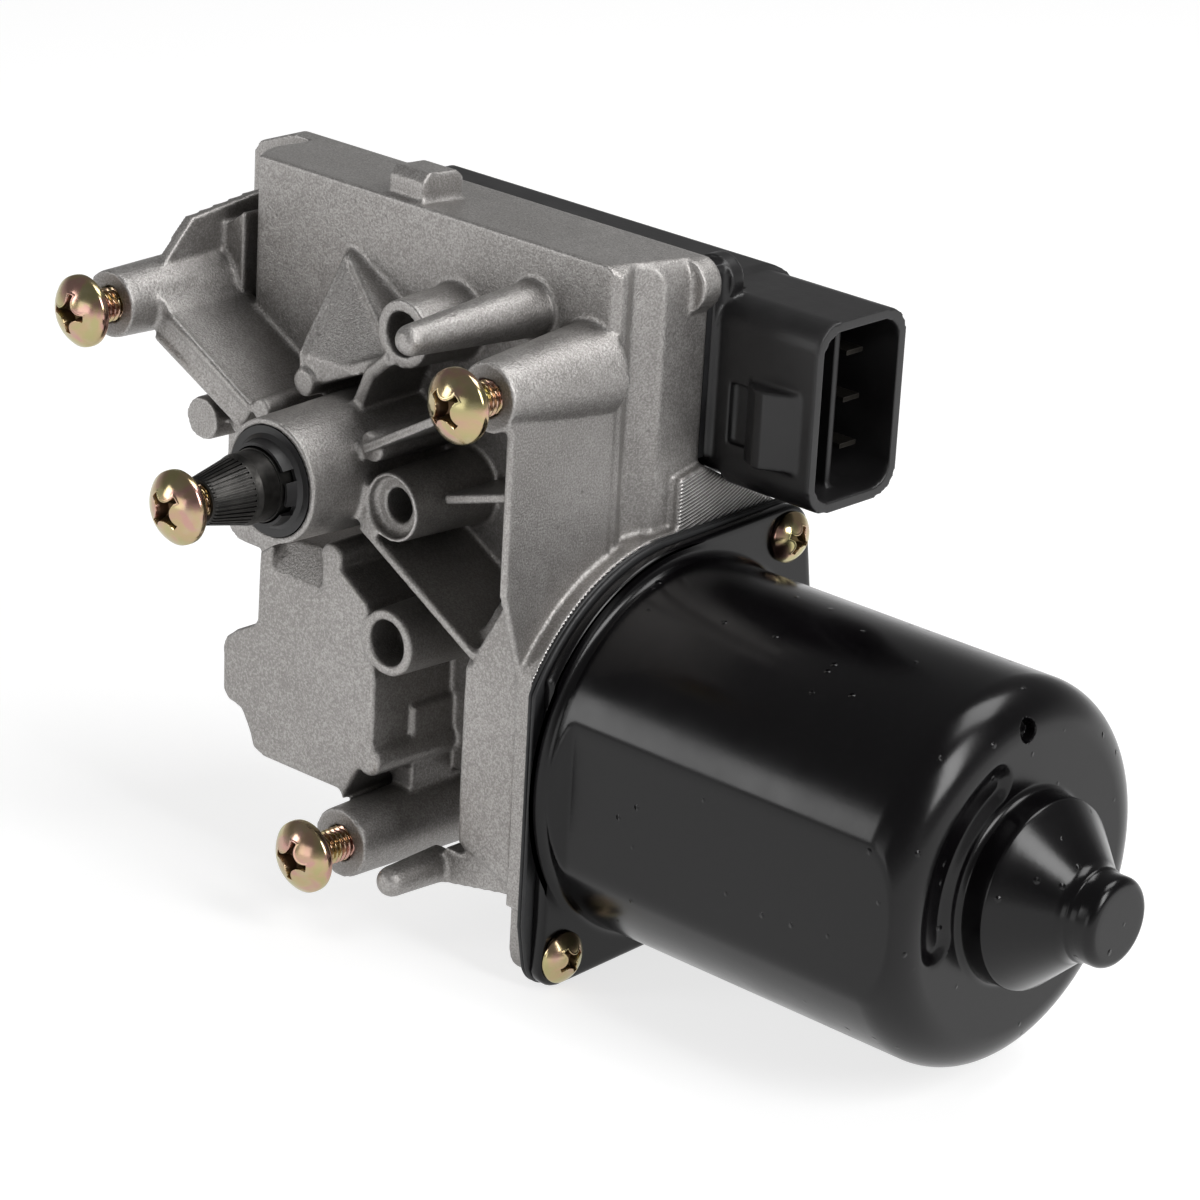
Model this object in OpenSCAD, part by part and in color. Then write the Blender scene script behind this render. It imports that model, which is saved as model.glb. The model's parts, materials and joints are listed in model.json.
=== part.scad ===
/* [Drive] */
// Teeth of the worm wheel
wheel_teeth = 70; // [64:1:74]
// Module of the worm and the wheel
tooth_module = 1; // [0.9:0.05:1.05]
// Pitch radius of the worm
worm_pitch_r = 5.15; // [4.8:0.05:5.6]
// Width of the wheel's toothed rim
wheel_face = 8; // [6:0.5:9]
// Depth of the worm and wheel plane behind the mounting plane
drive_depth = 36; // [35:0.5:38]
// Length of the worm thread
worm_length = 27; // [22:1:32]
// Radius of the output shaft in its bushes
output_shaft_r = 6.2; // [5.9:0.05:6.3]
// Radius of the output shaft in front of its cap
journal_r = 6; // [5.7:0.05:6.05]
// Radius of the armature shaft in its bearings
armature_shaft_r = 4; // [3.6:0.1:4.2]

/* [Gear case] */
// Depth of the front plate behind the mounting plane
plate_depth = 23.3; // [21:0.5:25]
// Thickness of the cast front plate
plate_wall = 2.7; // [2:0.1:3.2]
// Distance from the drive plane back to the rear rim
rear_room = 8.5; // [7.5:0.5:11]
// Thickness of the cast side walls
case_wall = 2.8; // [2:0.1:3.5]
// Thickness of the rear flange around the case
rear_flange = 4.5; // [3:0.5:6]
// Distance from the output axis to the case top
case_top = 42.2; // [40.5:0.1:44]
// Distance from the output axis to the left side of the case
case_left = 41.8; // [40:0.1:44]
// Distance from the output axis to the right side of the case
case_right = 48.5; // [47.5:0.1:50]
// Distance from the output axis down to the left bottom corner
case_bottom = 28.3; // [26:0.1:30]
// Radius of the case corners
case_corner = 5; // [3:0.5:6]

/* [Hub] */
// Distance from the mounting plane forward to the hub rim
hub_reach = 6; // [4:0.5:8]
// Outer radius of the hub at its rim
hub_r = 10.5; // [10:0.1:11.5]
// Radius of the recess that holds the cap
cap_seat_r = 9.4; // [9:0.1:9.6]
// Wall of the two sintered bushes
bush_wall = 2; // [1.5:0.1:2.5]
// Reach of the shaft beyond the hub rim
shaft_reach = 15.5; // [12:0.5:18]
// Radius of the shaft's serrated taper at its small end
taper_end_r = 4.1; // [3.8:0.1:4.5]

/* [Mounting] */
// Sideways place of the left mounting boss
boss_left_x = -46.5; // [-48:0.5:-45.5]
// Height of the left mounting boss
boss_left_z = 17.4; // [15:0.2:19]
// Sideways place of the right mounting boss
boss_right_x = 42.5; // [41:0.5:43.5]
// Height of the right mounting boss
boss_right_z = 24.4; // [22:0.2:26]
// Sideways place of the lower mounting boss
boss_low_x = 13.2; // [11:0.2:15]
// Drop of the lower mounting boss below the motor axis
boss_low_drop = 21.55; // [20.5:0.1:23]
// Radius of the boss faces
boss_r = 5.8; // [5:0.1:6.5]
// Radius of the mounting screw thread
screw_r = 3; // [2.5:0.1:3.2]
// Length of screw shank shown between head and left boss
screw_standoff = 5.3; // [2:0.1:6]
// Tip radius of the two locating pins
pin_tip_r = 2.6; // [2:0.1:3]

/* [Motor] */
// Radius of the drawn steel can
can_r = 32.15; // [31:0.05:33]
// Wall of the can
can_wall = 1.6; // [1.2:0.1:2]
// Depth of the flats pressed into the can
flat_depth = 2.55; // [1.95:0.1:3.15]
// Length of the can from the flange face to its end
can_length = 76.5; // [72:0.5:80]
// Distance from the output axis to the motor flange face
flange_x = 50.5; // [50:0.1:52]
// Distance from the can's wall to the axes of its two screws
can_screw_gap = 7.65; // [6.85:0.1:8.85]
// Angle of the can screws around the motor axis
can_screw_angle = 50.5; // [45:0.5:55]
// Thickness of the field magnets
magnet_thick = 6.85; // [6.45:0.1:8.45]
// Slots of the armature core
core_slots = 12; // [8:2:16]
// Length of the armature core
core_length = 36; // [30:1:38]
// Commutator bars
commutator_bars = 12; // [8:2:16]
// Radius of the commutator
commutator_r = 10.5; // [9:0.1:12]

/* [Cover and connector] */
// Thickness of the rear cover's flange
cover_flange = 3.2; // [2.5:0.1:4]
// Distance from the output axis to the top edge of the cover's flange
cover_top = 38.8; // [38.5:0.1:39.2]
// Distance from the output axis to the top of the cover's raised back
dome_top = 34; // [33:0.1:34.5]
// Thickness of the seal under the cover
seal_thickness = 1.2; // [0.8:0.1:1.6]
// Wall of the moulded cover and connector
cover_wall = 2.2; // [1.6:0.1:2.6]
// Height of the cover's back behind the rear rim
cover_rise = 24.5; // [21.5:0.5:26.5]
// Distance from the output axis to the connector mouth
mouth_x = 70; // [68:0.5:74]
// Lowest level of the connector shell above the output axis
mouth_z0 = 1.2; // [0:0.2:2.4]
// Highest level of the connector shell above the output axis
mouth_z1 = 33.6; // [32:0.2:34.5]
// Distance from the rear rim back to the connector's front wall
mouth_gap = 2.2; // [1.7:0.1:3]
// Corner radius of the connector shell
mouth_corner = 5; // [3:0.5:6]

/* [Hidden] */
$fn = 64;

// Places that follow from the drive
wheel_pitch_r = wheel_teeth * tooth_module / 2;
wheel_tip_r = wheel_pitch_r + tooth_module;
worm_tip_r = worm_pitch_r + tooth_module;
axis_drop = wheel_pitch_r + worm_pitch_r;
my = drive_depth;
mz = -axis_drop;

// Clearances
run_gap = 0.05;
slip_gap = 0.15;
wheel_room = 1.4;
worm_room = 0.85;

// Rear rim, seal, cover and connector levels
rim_depth = drive_depth + rear_room;
cover_back = rim_depth + cover_rise;
mouth_y0 = rim_depth + mouth_gap;
seal_y = rim_depth + seal_thickness;
cover_y = seal_y + cover_flange;
plate_inner = plate_depth + plate_wall;
well_r = wheel_tip_r + wheel_room;
rim_r = well_r + case_wall;
rim_top = case_top - 1.55;
ear_left = -54.5;
ear_bottom = 27;
well_top = case_top - 4.8;
neck_x = 34.5;
cup_floor_x = flange_x - 5;
back_x = rim_r + 0.8;
cup_r = can_r + 1.35;
cup_inner_r = can_r - can_wall - 3;
neck_front = 6;
can_flat = can_r - flat_depth;
can_screw_pcd_r = can_r + can_screw_gap;
flange_r = can_r + 3.85;
flange_thick = 3.6;
can_screw_r = 2.5;
lobe_r = 5.6;
front_flat = can_flat + 1.5;
back_flat = can_flat + 1.2;
tube_r = 12.7;
tube_left = -32.5;
side_floor = mz + cup_r + 0.85;
ledge_x = flange_x - 4;
ledge_gap = 0.4;
ledge_top = side_floor + 11.4;
ledge_end = side_floor - 0.7;
ledge_back = rim_depth + 22;
cover_posts = [[-38.5, 35.2], [45.6, 35.3], [-37, -23.5], [43, side_floor + 4.3]];
cover_head_r = 2.9;
cover_post_r = 4.6;
seal_post_r = 3.2;
cover_screw_r = 2;
cover_screw_depth = 9;

// Bush and hub levels
hub_front = -hub_reach;
bush_r = output_shaft_r + bush_wall;
bush_length = 9;
cap_depth = 7.2;
cap_lip = 2.5;
front_bush_y = hub_front + cap_depth;
rear_bush_y = plate_inner - bush_length + 1.2;

// Bearing sizes of the armature shaft
bearing_r = 11;
bearing_width = 7;
bearing_x = 27;
end_bush_x = -26;
end_bush_length = 8;

// Circuit plate level and thickness, and the right end of the cover's raised back
plate_y = rim_depth + 11.5;
plate_thick = 1.6;
dome_right = ledge_x - 0.3;

// Worm wheel, its hexagon seat and the mesh
wheel_front = my - wheel_face / 2;
wheel_back = my + wheel_face / 2;
disc_y = wheel_back;
flange_front = plate_inner + 2.2;
hex_r = 10.5;
hex_depth = 3;
backlash = 0.42;
pressure = tan(20);
tooth_pitch = PI * tooth_module;
tooth_width = tooth_pitch / 2 - backlash;
lead_slope = tooth_module / 2 / worm_pitch_r;

// Can, gasket and nose levels
gasket_thick = 1.6;
can_flange_thick = 2.4;
can_x = flange_x + gasket_thick;
can_end = flange_x + can_length;
edge_r = 7.5;
vent_r = 1.9;
nose_r = 15.7;
nose_end = can_end + 5.2;
tip_r = 7.4;
tip_round = 1.5;
tip_x = can_end + 13.6;
can_tip = can_end + 19;

// Armature, magnets and commutator
core_x = flange_x + 21;
magnet_x = core_x - 4;
magnet_length = core_length + 8;
air_gap = 0.7;
magnet_outer = can_r - can_wall - 0.1;
magnet_inner = magnet_outer - magnet_thick;
core_r = magnet_inner - air_gap;
spring_width = 3;
spring_height = 21;
spring_wall = 0.7;
spring_x = can_flat - can_wall - spring_width / 2 - 0.5;
winding_r = 2.9;
slot_ring_r = core_r - 5.7;
commutator_x = flange_x - 2.4;
commutator_length = 12;

// Armature shaft ends
worm_start = -worm_length / 2;
shaft_left = end_bush_x + 3.9;
shaft_right = can_tip - can_wall - 0.9;

// Brushes and their boxes
brush_turns = [0, 55, 180];
brush_size = 5;
brush_plate_thick = 2;
box_wall = 0.8;
box_start = commutator_r + 2;
box_end = can_r - can_wall - 5.55;
brush_x = flange_x + 1;

// Bearing balls
ball_ring_r = 7.7;
ball_r = 1.8;

module bar_y(x, z, y0, y1, r0, r1) {
    translate([x, y0, z]) rotate([-90, 0, 0]) cylinder(h = y1 - y0, r1 = r0, r2 = r1);
}

module bar_x(x0, x1, y, z, r0, r1) {
    translate([x0, y, z]) rotate([0, 90, 0]) cylinder(h = x1 - x0, r1 = r0, r2 = r1);
}

module prism_y(y0, y1) {
    translate([0, y1, 0]) rotate([90, 0, 0]) linear_extrude(y1 - y0) children();
}

module prism_x(x0, x1) {
    translate([x0, 0, 0]) rotate([90, 0, 90]) linear_extrude(x1 - x0) children();
}

module prism_z(z0, z1) {
    translate([0, 0, z0]) linear_extrude(z1 - z0) children();
}

// Solid turned about the output axis from a profile of [depth along Y, radius]
module turned_y(profile) {
    rotate([-90, 0, 0]) rotate_extrude() polygon([for (p = profile) [p[1], p[0]]]);
}

module round_rect(x0, z0, x1, z1, r) {
    translate([x0 + r, z0]) square([x1 - x0 - 2 * r, z1 - z0]);
    translate([x0, z0 + r]) square([x1 - x0, z1 - z0 - 2 * r]);
    for (x = [x0 + r, x1 - r], z = [z0 + r, z1 - r]) translate([x, z]) circle(r);
}

// Flat strip of width w from point p to point q
module strip(p, q, w) {
    u = (q - p) / norm(q - p);
    n = [-u[1], u[0]] * w / 2;
    polygon([p + n, p - n, q - n, q + n]);
}

// Outline of the case in X and Z, drawn in by inset on every side
module case_outline(inset) {
    corner = case_corner - inset / 2;
    round_rect(-case_left + inset, -case_bottom + inset, 20, case_top - inset, corner);
    round_rect(-case_left + inset, side_floor - 4 + inset, case_right - inset, case_top - inset, corner);
    circle(rim_r - inset);
}

// Wedge that trims the case's front left top corner, moved right by shift
module left_bevel(shift) {
    prism_z(14, case_top + 10)
        polygon([[-35.5 + shift, plate_depth - 1], [-35.5 + shift, plate_depth],
            [-case_left - 0.1 + shift, 34], [-70, 34], [-70, plate_depth - 1]]);
}

// Inside of the case wall in X and Z, grown by grow
module well_outline(grow) {
    difference() {
        case_outline(case_wall - grow);
        translate([-60, well_top + grow]) square([140, 20]);
        translate([10, side_floor - 40]) square([60, 42 - grow]);
        translate([ledge_x - 3.2 + grow, side_floor - 40]) square([20, 43 - side_floor + ledge_top]);
    }
    circle(well_r + grow);
}

module wheel_well() {
    difference() {
        prism_y(plate_inner, rim_depth + 10) difference() {
            well_outline(0);
            for (p = cover_posts) translate(p) circle(cover_post_r);
        }
        left_bevel(case_wall * 1.2);
    }
}

module case_body() {
    difference() {
        union() {
            prism_y(plate_depth, rim_depth) case_outline(0);
            prism_y(rim_depth - rear_flange, rim_depth) {
                polygon([[-40, ear_bottom], [ear_left, ear_bottom], [ear_left, rim_top - 4.6],
                    [ear_left + 1.3, rim_top - 2.7], [ear_left + 8.5, rim_top], [-40, case_top]]);
                translate([case_right - 1.8, 36.2]) circle(4.6);
            }
            prism_y(plate_depth, rim_depth) polygon([[tube_left, -case_bottom + 6], [tube_left, mz - 4],
                [tube_left + 7, mz - 13.6], [neck_x + 6, mz - 13.6], [neck_x + 6, -case_bottom + 16]]);
        }
        left_bevel(0);
        prism_x(-70, 70) polygon([[plate_depth, case_top], [rim_depth, rim_top],
            [rim_depth + 1, rim_top], [rim_depth + 1, case_top + 9], [plate_depth, case_top + 9]]);
        prism_z(-case_bottom, case_top + 1) polygon([[46.3, 22], [46.3, 23.6], [47.3, 24.6], [47.3, 26.2],
            [45.9, 28.6], [47.2, 32.3], [case_right, 33.6], [70, 33.6], [70, 22]]);
    }
}

// Casting lug on the top wall
module top_lug() {
    prism_x(-6, 2) polygon([[24.8, case_top - 2], [24.8, 45.4], [26.4, 46.9], [33, 46.4], [34.4, 45.2],
        [34.4, case_top - 2]]);
}

module hub() {
    bar_y(0, 0, hub_front, plate_inner, hub_r, hub_r + 1.2);
}

// Threaded boss, its gusset plate and the strut that joins it to the front plate
module left_boss() {
    x = boss_left_x;
    z = boss_left_z;
    bar_y(x, z, 0, plate_depth + 5, boss_r, boss_r + 0.9);
    prism_x(x + 0.6, x + 2.6) polygon([[8.8, z + 3], [8.8, z + 5], [16, z + 12.8], [31.9, z + 14.9],
        [36, z + 14.9], [36, z - 2], [26, z - 3]]);
    prism_y(6, plate_depth + 2) polygon([[x + 4.5, z + 3.4], [x + 8, z - 0.6], [-17, 5.7], [-20, 1.4],
        [x + 4.7, z - 5.6]]);
    prism_y(plate_depth, rim_depth - rear_flange) polygon([[x + 1, z - 4], [x + 1, z + 9],
        [-case_left + 3, z + 14], [-case_left + 3, z - 12]]);
}

module right_boss() {
    bar_y(boss_right_x, boss_right_z, 0, plate_depth + 1, boss_r, boss_r + 2.2);
    prism_x(46.3, 47.6) polygon([[0.6, boss_right_z - 3], [plate_depth + 1, boss_right_z - 3],
        [plate_depth + 1, mz + 20], [neck_front + 2, mz + 20], [neck_front, mz + 15], [0.8, -7.8]]);
    prism_y(10, plate_depth + 1) strip([24.2, 0], [46.8, 6.7], 1.6);
    prism_y(3, plate_depth + 1) strip([12, 6.8], [36, 20.6], 1.5);
}

module low_boss() {
    bar_y(boss_low_x, mz - boss_low_drop, 0, my, boss_r + 0.2, boss_r + 1.2);
    prism_y(14, my) strip([boss_low_x, mz - boss_low_drop], [boss_low_x, mz], 5);
}

// Bosses, stubs and ribs that stand on the front plate
module plate_bosses() {
    bar_y(17, -2.3, 5, plate_depth + 1, 5.8, 6.6);
    bar_y(17.6, mz + 14.45, 4.6, plate_depth + 1, 5.7, 6.3);
    bar_y(12.6, 25, 10.7, plate_depth + 1, 5.7, 6.4);
    bar_y(3.6, -14.8, 5, plate_depth + 1, 2.4, 2.8);
    bar_y(12, 6.8, 5, plate_depth + 1, 2.6, 3);
    bar_y(-15.4, 5.6, 6, plate_depth + 1, 2, 2.4);
    bar_y(-9.5, 11.1, 10, plate_depth + 1, 2.4, 2.8);
    bar_y(-32.8, -1.2, 9, plate_depth + 1, 3.75, 4.1);
    bar_y(-26.4, -0.9, 11, plate_depth + 1, 1.7, 2);
    bar_y(13.8, mz - 7.95, 5, my, 2.7, 3.1);
    prism_y(5, plate_depth + 1) {
        polygon([[8.4, -6.3], [13, 2], [21, -6.5], [12.5, -8]]);
        strip([10, -7.2], [37.2, mz + 17.8], 1.7);
    }
    prism_y(10, plate_depth + 1) {
        strip([1, 5.5], [5.7, 16.3], 2.3);
        strip([5.2, 16], [10.2, 20.3], 2.3);
    }
    prism_y(11.5, plate_depth + 1) strip([-9.5, 11.1], [12.6, 21], 2.2);
}

// Triangular fin that rises from its apex to the rib below it
module fin() {
    difference() {
        prism_y(11.2, plate_depth + 1)
            polygon([[-12.9, 31], [-11.3, 31], [9.8, 19.5], [8.2, 17.6], [-9.5, 10.4], [-11, 11.5]]);
        prism_x(-20, 20) polygon([[plate_depth - 0.6, 31.2], [11.2, 15.5], [0, 15.5], [0, 40],
            [plate_depth - 0.6, 40]]);
    }
}

module locating_pins() {
    bar_y(29.6, 31.4, -4.3, plate_depth + 1, pin_tip_r, 4.8);
    translate([29.6, -4.3, 31.4]) sphere(pin_tip_r);
    bar_y(28.5, mz - 22.35, -2.8, 9, pin_tip_r, 3.1);
    translate([28.5, -2.8, mz - 22.35]) sphere(pin_tip_r);
}

// Block in front of the worm, its outline given from the motor axis
module wing_block() {
    difference() {
        prism_y(5, my) translate([0, mz]) polygon([[-13.5, 21.3], [-9.5, 24], [4, 25], [12.2, 19.6],
            [14.7, 7], [14.7, -4.6], [8.1, -16.8], [7.3, -15.2], [-11.4, -15.4], [-14, -14.5], [-15.1, -11.7],
            [-17.2, -8.3], [-20.6, -7.6], [-21.8, -6.2], [-22.1, 1.8], [-21.4, 3.6], [-18.9, 5.6], [-14.4, 8],
            [-13.8, 8.8]]);
        prism_x(-10.5, 1.5) polygon([[4, mz + 18.6], [5, mz + 18.6], [11.5, mz + 28], [11.5, mz + 40],
            [4, mz + 40]]);
    }
}

module worm_tube() {
    bar_x(tube_left, cup_floor_x + 1, my, mz, tube_r, tube_r);
}

// Round flange with its two screw lobes, in Y and Z, cut off flat in front. The straight sides lie a hair
// inside the circles, so that they cross them.
module flange_outline(r, lobe_r, flat) {
    reach = can_screw_pcd_r;
    lean = acos((r - lobe_r) / reach);
    r1 = r - 0.03;
    lobe1 = lobe_r - 0.03;
    intersection() {
        translate([my, mz]) union() {
            circle(r);
            for (turn = [0, 180]) rotate(can_screw_angle + turn) {
                translate([reach, 0]) circle(lobe_r);
                polygon([[0, 0], r1 * [cos(lean), -sin(lean)], [reach, 0] + lobe1 * [cos(lean), -sin(lean)],
                    [reach, 0], [reach, 0] + lobe1 * [cos(lean), sin(lean)], r1 * [cos(lean), sin(lean)]]);
            }
        }
        translate([my - flat, mz - 60]) square([2 * r, 120]);
    }
}

module neck() {
    prism_x(neck_x, flange_x - 3.2) intersection() {
        translate([my, mz]) circle(cup_r);
        translate([neck_front, mz - 40]) square([80, 80]);
    }
    prism_x(flange_x - flange_thick, flange_x) difference() {
        flange_outline(flange_r, lobe_r - 1.2, front_flat);
        translate([0, mz - 60]) square([6.2, 37.5]);
    }
    prism_y(neck_front, my) translate([0, mz]) polygon([[34.3, 11.4], [36.5, 18.2], [42.7, 28.7],
        [47.4, 33], [47.4, -20], [34.8, -16], [34.2, -7.8]]);
    prism_y(7, my) translate([0, mz])
        polygon([[28, -25.3], [47.3, -21.5], [47.3, -14], [35.2, -18.4], [30.8, -18.3]]);
    prism_x(ledge_x, flange_x - 0.2) polygon([[my + 2, mz + 20], [my + 2, ledge_top - 1.2],
        [rim_depth - 0.5, ledge_top], [ledge_back, ledge_end], [ledge_back - 2.5, mz + 20]]);
}

module gear_housing_solid() {
    difference() {
        union() {
            case_body();
            worm_tube();
            difference() {
                neck();
                translate([-10, rim_depth, mz - 60]) cube([back_x + 10, 60, 120]);
            }
        }
        translate([0, rim_depth, 0]) rotate([-90, 0, 0]) cylinder(h = 60, r = rim_r + 0.4);
        wheel_well();
    }
    top_lug();
    hub();
    left_boss();
    right_boss();
    low_boss();
    plate_bosses();
    fin();
    locating_pins();
    wing_block();
}

module gear_housing() {
    color([0.62, 0.61, 0.59]) difference() {
        gear_housing_solid();
        // Output shaft bore, bush seats and cap recess
        bar_y(0, 0, hub_front - 1, plate_inner + 1, output_shaft_r + 1, output_shaft_r + 1);
        bar_y(0, 0, front_bush_y, front_bush_y + bush_length, bush_r, bush_r);
        bar_y(0, 0, rear_bush_y, plate_inner + 1, bush_r, bush_r);
        bar_y(0, 0, hub_front - 1, front_bush_y, cap_seat_r, cap_seat_r);
        // Worm bore, bearing seat and cup
        bar_x(end_bush_x - 0.8, bearing_x + 1, my, mz, worm_tip_r + worm_room, worm_tip_r + worm_room);
        bar_x(bearing_x, cup_floor_x + 1, my, mz, bearing_r, bearing_r);
        bar_x(tube_left - 1, end_bush_x, my, mz, screw_r + 0.05, screw_r + 0.05);
        bar_x(cup_floor_x, flange_x + 1, my, mz, cup_inner_r, cup_inner_r);
        prism_x(back_x - 1, cup_floor_x + 1) intersection() {
            translate([my, mz]) circle(cup_inner_r - 2);
            translate([0, mz - 40]) square([my + 4, 40 + 14]);
        }
        // Wheel must reach the worm
        bar_y(0, 0, plate_inner, rim_depth + 1, well_r, well_r);
        // Screw holes of the mounting bosses
        bar_y(boss_left_x, boss_left_z, -1, 18, screw_r + 0.05, screw_r + 0.05);
        bar_y(boss_right_x, boss_right_z, -1, 18, screw_r + 0.05, screw_r + 0.05);
        bar_y(boss_low_x, mz - boss_low_drop, -1, 18, screw_r + 0.05, screw_r + 0.05);
        // Open holes of the plate bosses
        bar_y(17, -2.3, 4, 7, 5.2, 5.2);
        bar_y(17, -2.3, 4, plate_depth, 2.9, 2.9);
        bar_y(17.6, mz + 14.45, 3, 12, 3.95, 3.95);
        bar_y(17.6, mz + 14.45, 3, plate_depth, 2.9, 2.9);
        bar_y(12.6, 25, 9, 18, 3.8, 3.8);
        bar_y(12.6, 25, 9, plate_depth, 2.6, 2.6);
        // Holes for the cover screws and the can screws
        for (p = cover_posts) {
            bar_y(p[0], p[1], rim_depth - cover_screw_depth - 1, rim_depth + 1, cover_screw_r + run_gap,
                cover_screw_r + run_gap);
        }
        can_screw_places()
            bar_x(ledge_x - 1, flange_x + 1, 0, 0, can_screw_r + run_gap, can_screw_r + run_gap);
    }
}

module can_screw_places() {
    for (turn = [0, 180]) {
        a = can_screw_angle + turn;
        translate([0, my + can_screw_pcd_r * cos(a), mz + can_screw_pcd_r * sin(a)]) children();
    }
}

// Outline shared by the seal and the cover flange, drawn in by inset
module cover_outline(inset) {
    difference() {
        union() {
            case_outline(inset);
            round_rect(-47 + inset, 27 + inset, -36, case_top - inset, 4.5 - inset / 2);
        }
        translate([20, -80]) square([60, 80 + side_floor + inset]);
        translate([ledge_x - ledge_gap - inset, -80]) square([60, 80 + ledge_top + ledge_gap + inset]);
        translate([-60, cover_top - inset]) square([140, 20]);
    }
}

// Outline of the cover's raised back, drawn in by inset
module dome_outline(inset) {
    round_rect(-36 + inset, -20 + inset, 30 - inset, dome_top - inset, 5 - inset / 2);
    round_rect(-36 + inset, 2.8 + inset, dome_right - inset, dome_top - inset, 5 - inset / 2);
}

// Raised back of the cover, its long back edges rounded
module dome(inset, y0) {
    intersection() {
        prism_y(y0, cover_back) dome_outline(inset);
        prism_x(-40, 50) round_rect(y0 - 6, -20 + inset, cover_back - inset, dome_top - inset, 3 - inset / 2);
    }
}

module connector_shell(inset) {
    round_rect(mouth_y0 + inset, mouth_z0 + inset, cover_back - inset, mouth_z1 - inset,
        mouth_corner - inset / 2);
}

module rear_cover() {
    pocket_x = flange_x + 2.2 + cover_wall;
    color([0.09, 0.09, 0.1]) difference() {
        union() {
            prism_y(seal_y, cover_y) cover_outline(0);
            dome(0, seal_y);
            prism_x(40, flange_x + 0.6) difference() {
                connector_shell(0);
                polygon([[seal_y - 5, -20], [seal_y - 5, ledge_top + ledge_gap],
                    [rim_depth - 0.5, ledge_top + ledge_gap], [ledge_back, ledge_end + ledge_gap],
                    [ledge_back, -20]]);
                translate([0, -20]) square([seal_y, 80]);
            }
            prism_x(flange_x + 0.15, mouth_x) connector_shell(0);
            prism_z(8.2, 21.4) translate([mouth_x, mouth_y0]) polygon([[-13, 0.5], [-13, -1.2],
                [-9.6, -3.2], [-8, -3.2], [-2.6, 0], [-2.6, 0.5]]);
            for (z = [5, 30]) prism_y(cover_back - 0.6, cover_back + 0.9) strip([-28, z], [26, z], 2);
        }
        // Room for the circuit plate and the wheel
        dome(cover_wall, seal_y - 1);
        // Connector mouth and its latch pocket
        prism_x(pocket_x, mouth_x + 1) connector_shell(cover_wall - 0.4);
        prism_z(9.6, 20) translate([flange_x + 1.7, mouth_y0 - 1]) square([4.4, 2.2]);
        for (p = cover_posts) {
            bar_y(p[0], p[1], seal_y - 1, cover_y + 1, cover_screw_r + 0.2, cover_screw_r + 0.2);
            bar_y(p[0], p[1], cover_y, cover_y + 5, cover_head_r + 0.3, cover_head_r + 0.3);
        }
    }
    color([0.09, 0.09, 0.1]) prism_x(pocket_x - 0.5, mouth_x - 5)
        translate([mouth_y0 + 10.5, mouth_z0 + 1]) square([1.3, mouth_z1 - mouth_z0 - 2]);
    color([0.09, 0.09, 0.1]) for (x = [-28, 22], z = [-12, 26])
        bar_y(x, z, plate_y + plate_thick, cover_back - 1, 2.6, 2.6);
}

module cover_seal() {
    color([0.05, 0.05, 0.05]) difference() {
        prism_y(rim_depth, seal_y) {
            difference() {
                cover_outline(0.3);
                well_outline(0.2);
            }
            for (p = cover_posts) translate(p) circle(seal_post_r);
        }
        for (p = cover_posts) {
            bar_y(p[0], p[1], rim_depth - 1, seal_y + 1, cover_screw_r + 0.2, cover_screw_r + 0.2);
        }
    }
}

module cover_screws() {
    color([0.75, 0.68, 0.45]) for (p = cover_posts) {
        bar_y(p[0], p[1], rim_depth - cover_screw_depth, cover_y + 0.5, cover_screw_r, cover_screw_r);
        difference() {
            bar_y(p[0], p[1], cover_y, cover_y + 2.2, cover_head_r, cover_head_r - 0.4);
            translate([p[0] - 2, cover_y + 1.1, p[1] - 0.4]) cube([4, 3, 0.8]);
            translate([p[0] - 0.4, cover_y + 1.1, p[1] - 2]) cube([0.8, 3, 4]);
        }
    }
}

module circuit_plate() {
    color([0.1, 0.35, 0.2]) difference() {
        prism_y(plate_y, plate_y + plate_thick) round_rect(-32, -16, 27.4, 30.5, 2);
        for (x = [-10, 10]) bar_y(x, 27, plate_y - 1, plate_y + 3, 1.2, 1.2);
    }
}

module relay_block() {
    color([0.12, 0.12, 0.13]) {
        translate([-22, plate_y + plate_thick, 0]) cube([16, 8.2, 15]);
        bar_y(8, -6, plate_y + plate_thick, plate_y + plate_thick + 7, 4, 4);
        bar_y(18, -6, plate_y + plate_thick, plate_y + plate_thick + 7, 4, 4);
    }
}

module connector_pins() {
    color([0.75, 0.6, 0.3]) for (y = [mouth_y0 + 3.7, mouth_y0 + 14.7], z = [9, 17, 25])
        translate([flange_x - 3.5, y, z - 0.4]) cube([17, 4, 0.8]);
}

module park_contacts() {
    color([0.8, 0.55, 0.25]) for (r = [12.5, 17.5, 22.5]) prism_z(r - 1.3, r + 1.3)
        polygon([[12, plate_y], [12, disc_y + 7], [0.5, disc_y + 1.1], [-2, disc_y + 1.1],
            [-2, disc_y + 1.6], [0.3, disc_y + 1.6], [11.4, disc_y + 7.3], [11.4, plate_y]]);
}

// Tooth outline of the wheel with one tooth pointing at the worm
module wheel_teeth_outline() {
    root = wheel_pitch_r - 1.25 * tooth_module;
    polygon([for (i = [0 : wheel_teeth - 1]) let (a = -90 + i * 360 / wheel_teeth)
        for (c = [[root, -1], [wheel_tip_r, -1], [wheel_tip_r, 1], [root, 1]])
            let (half = tooth_width / 2 + (wheel_pitch_r - c[0]) * pressure,
                b = a + c[1] * half / c[0] * 180 / PI) c[0] * [cos(b), sin(b)]]);
}

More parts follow.
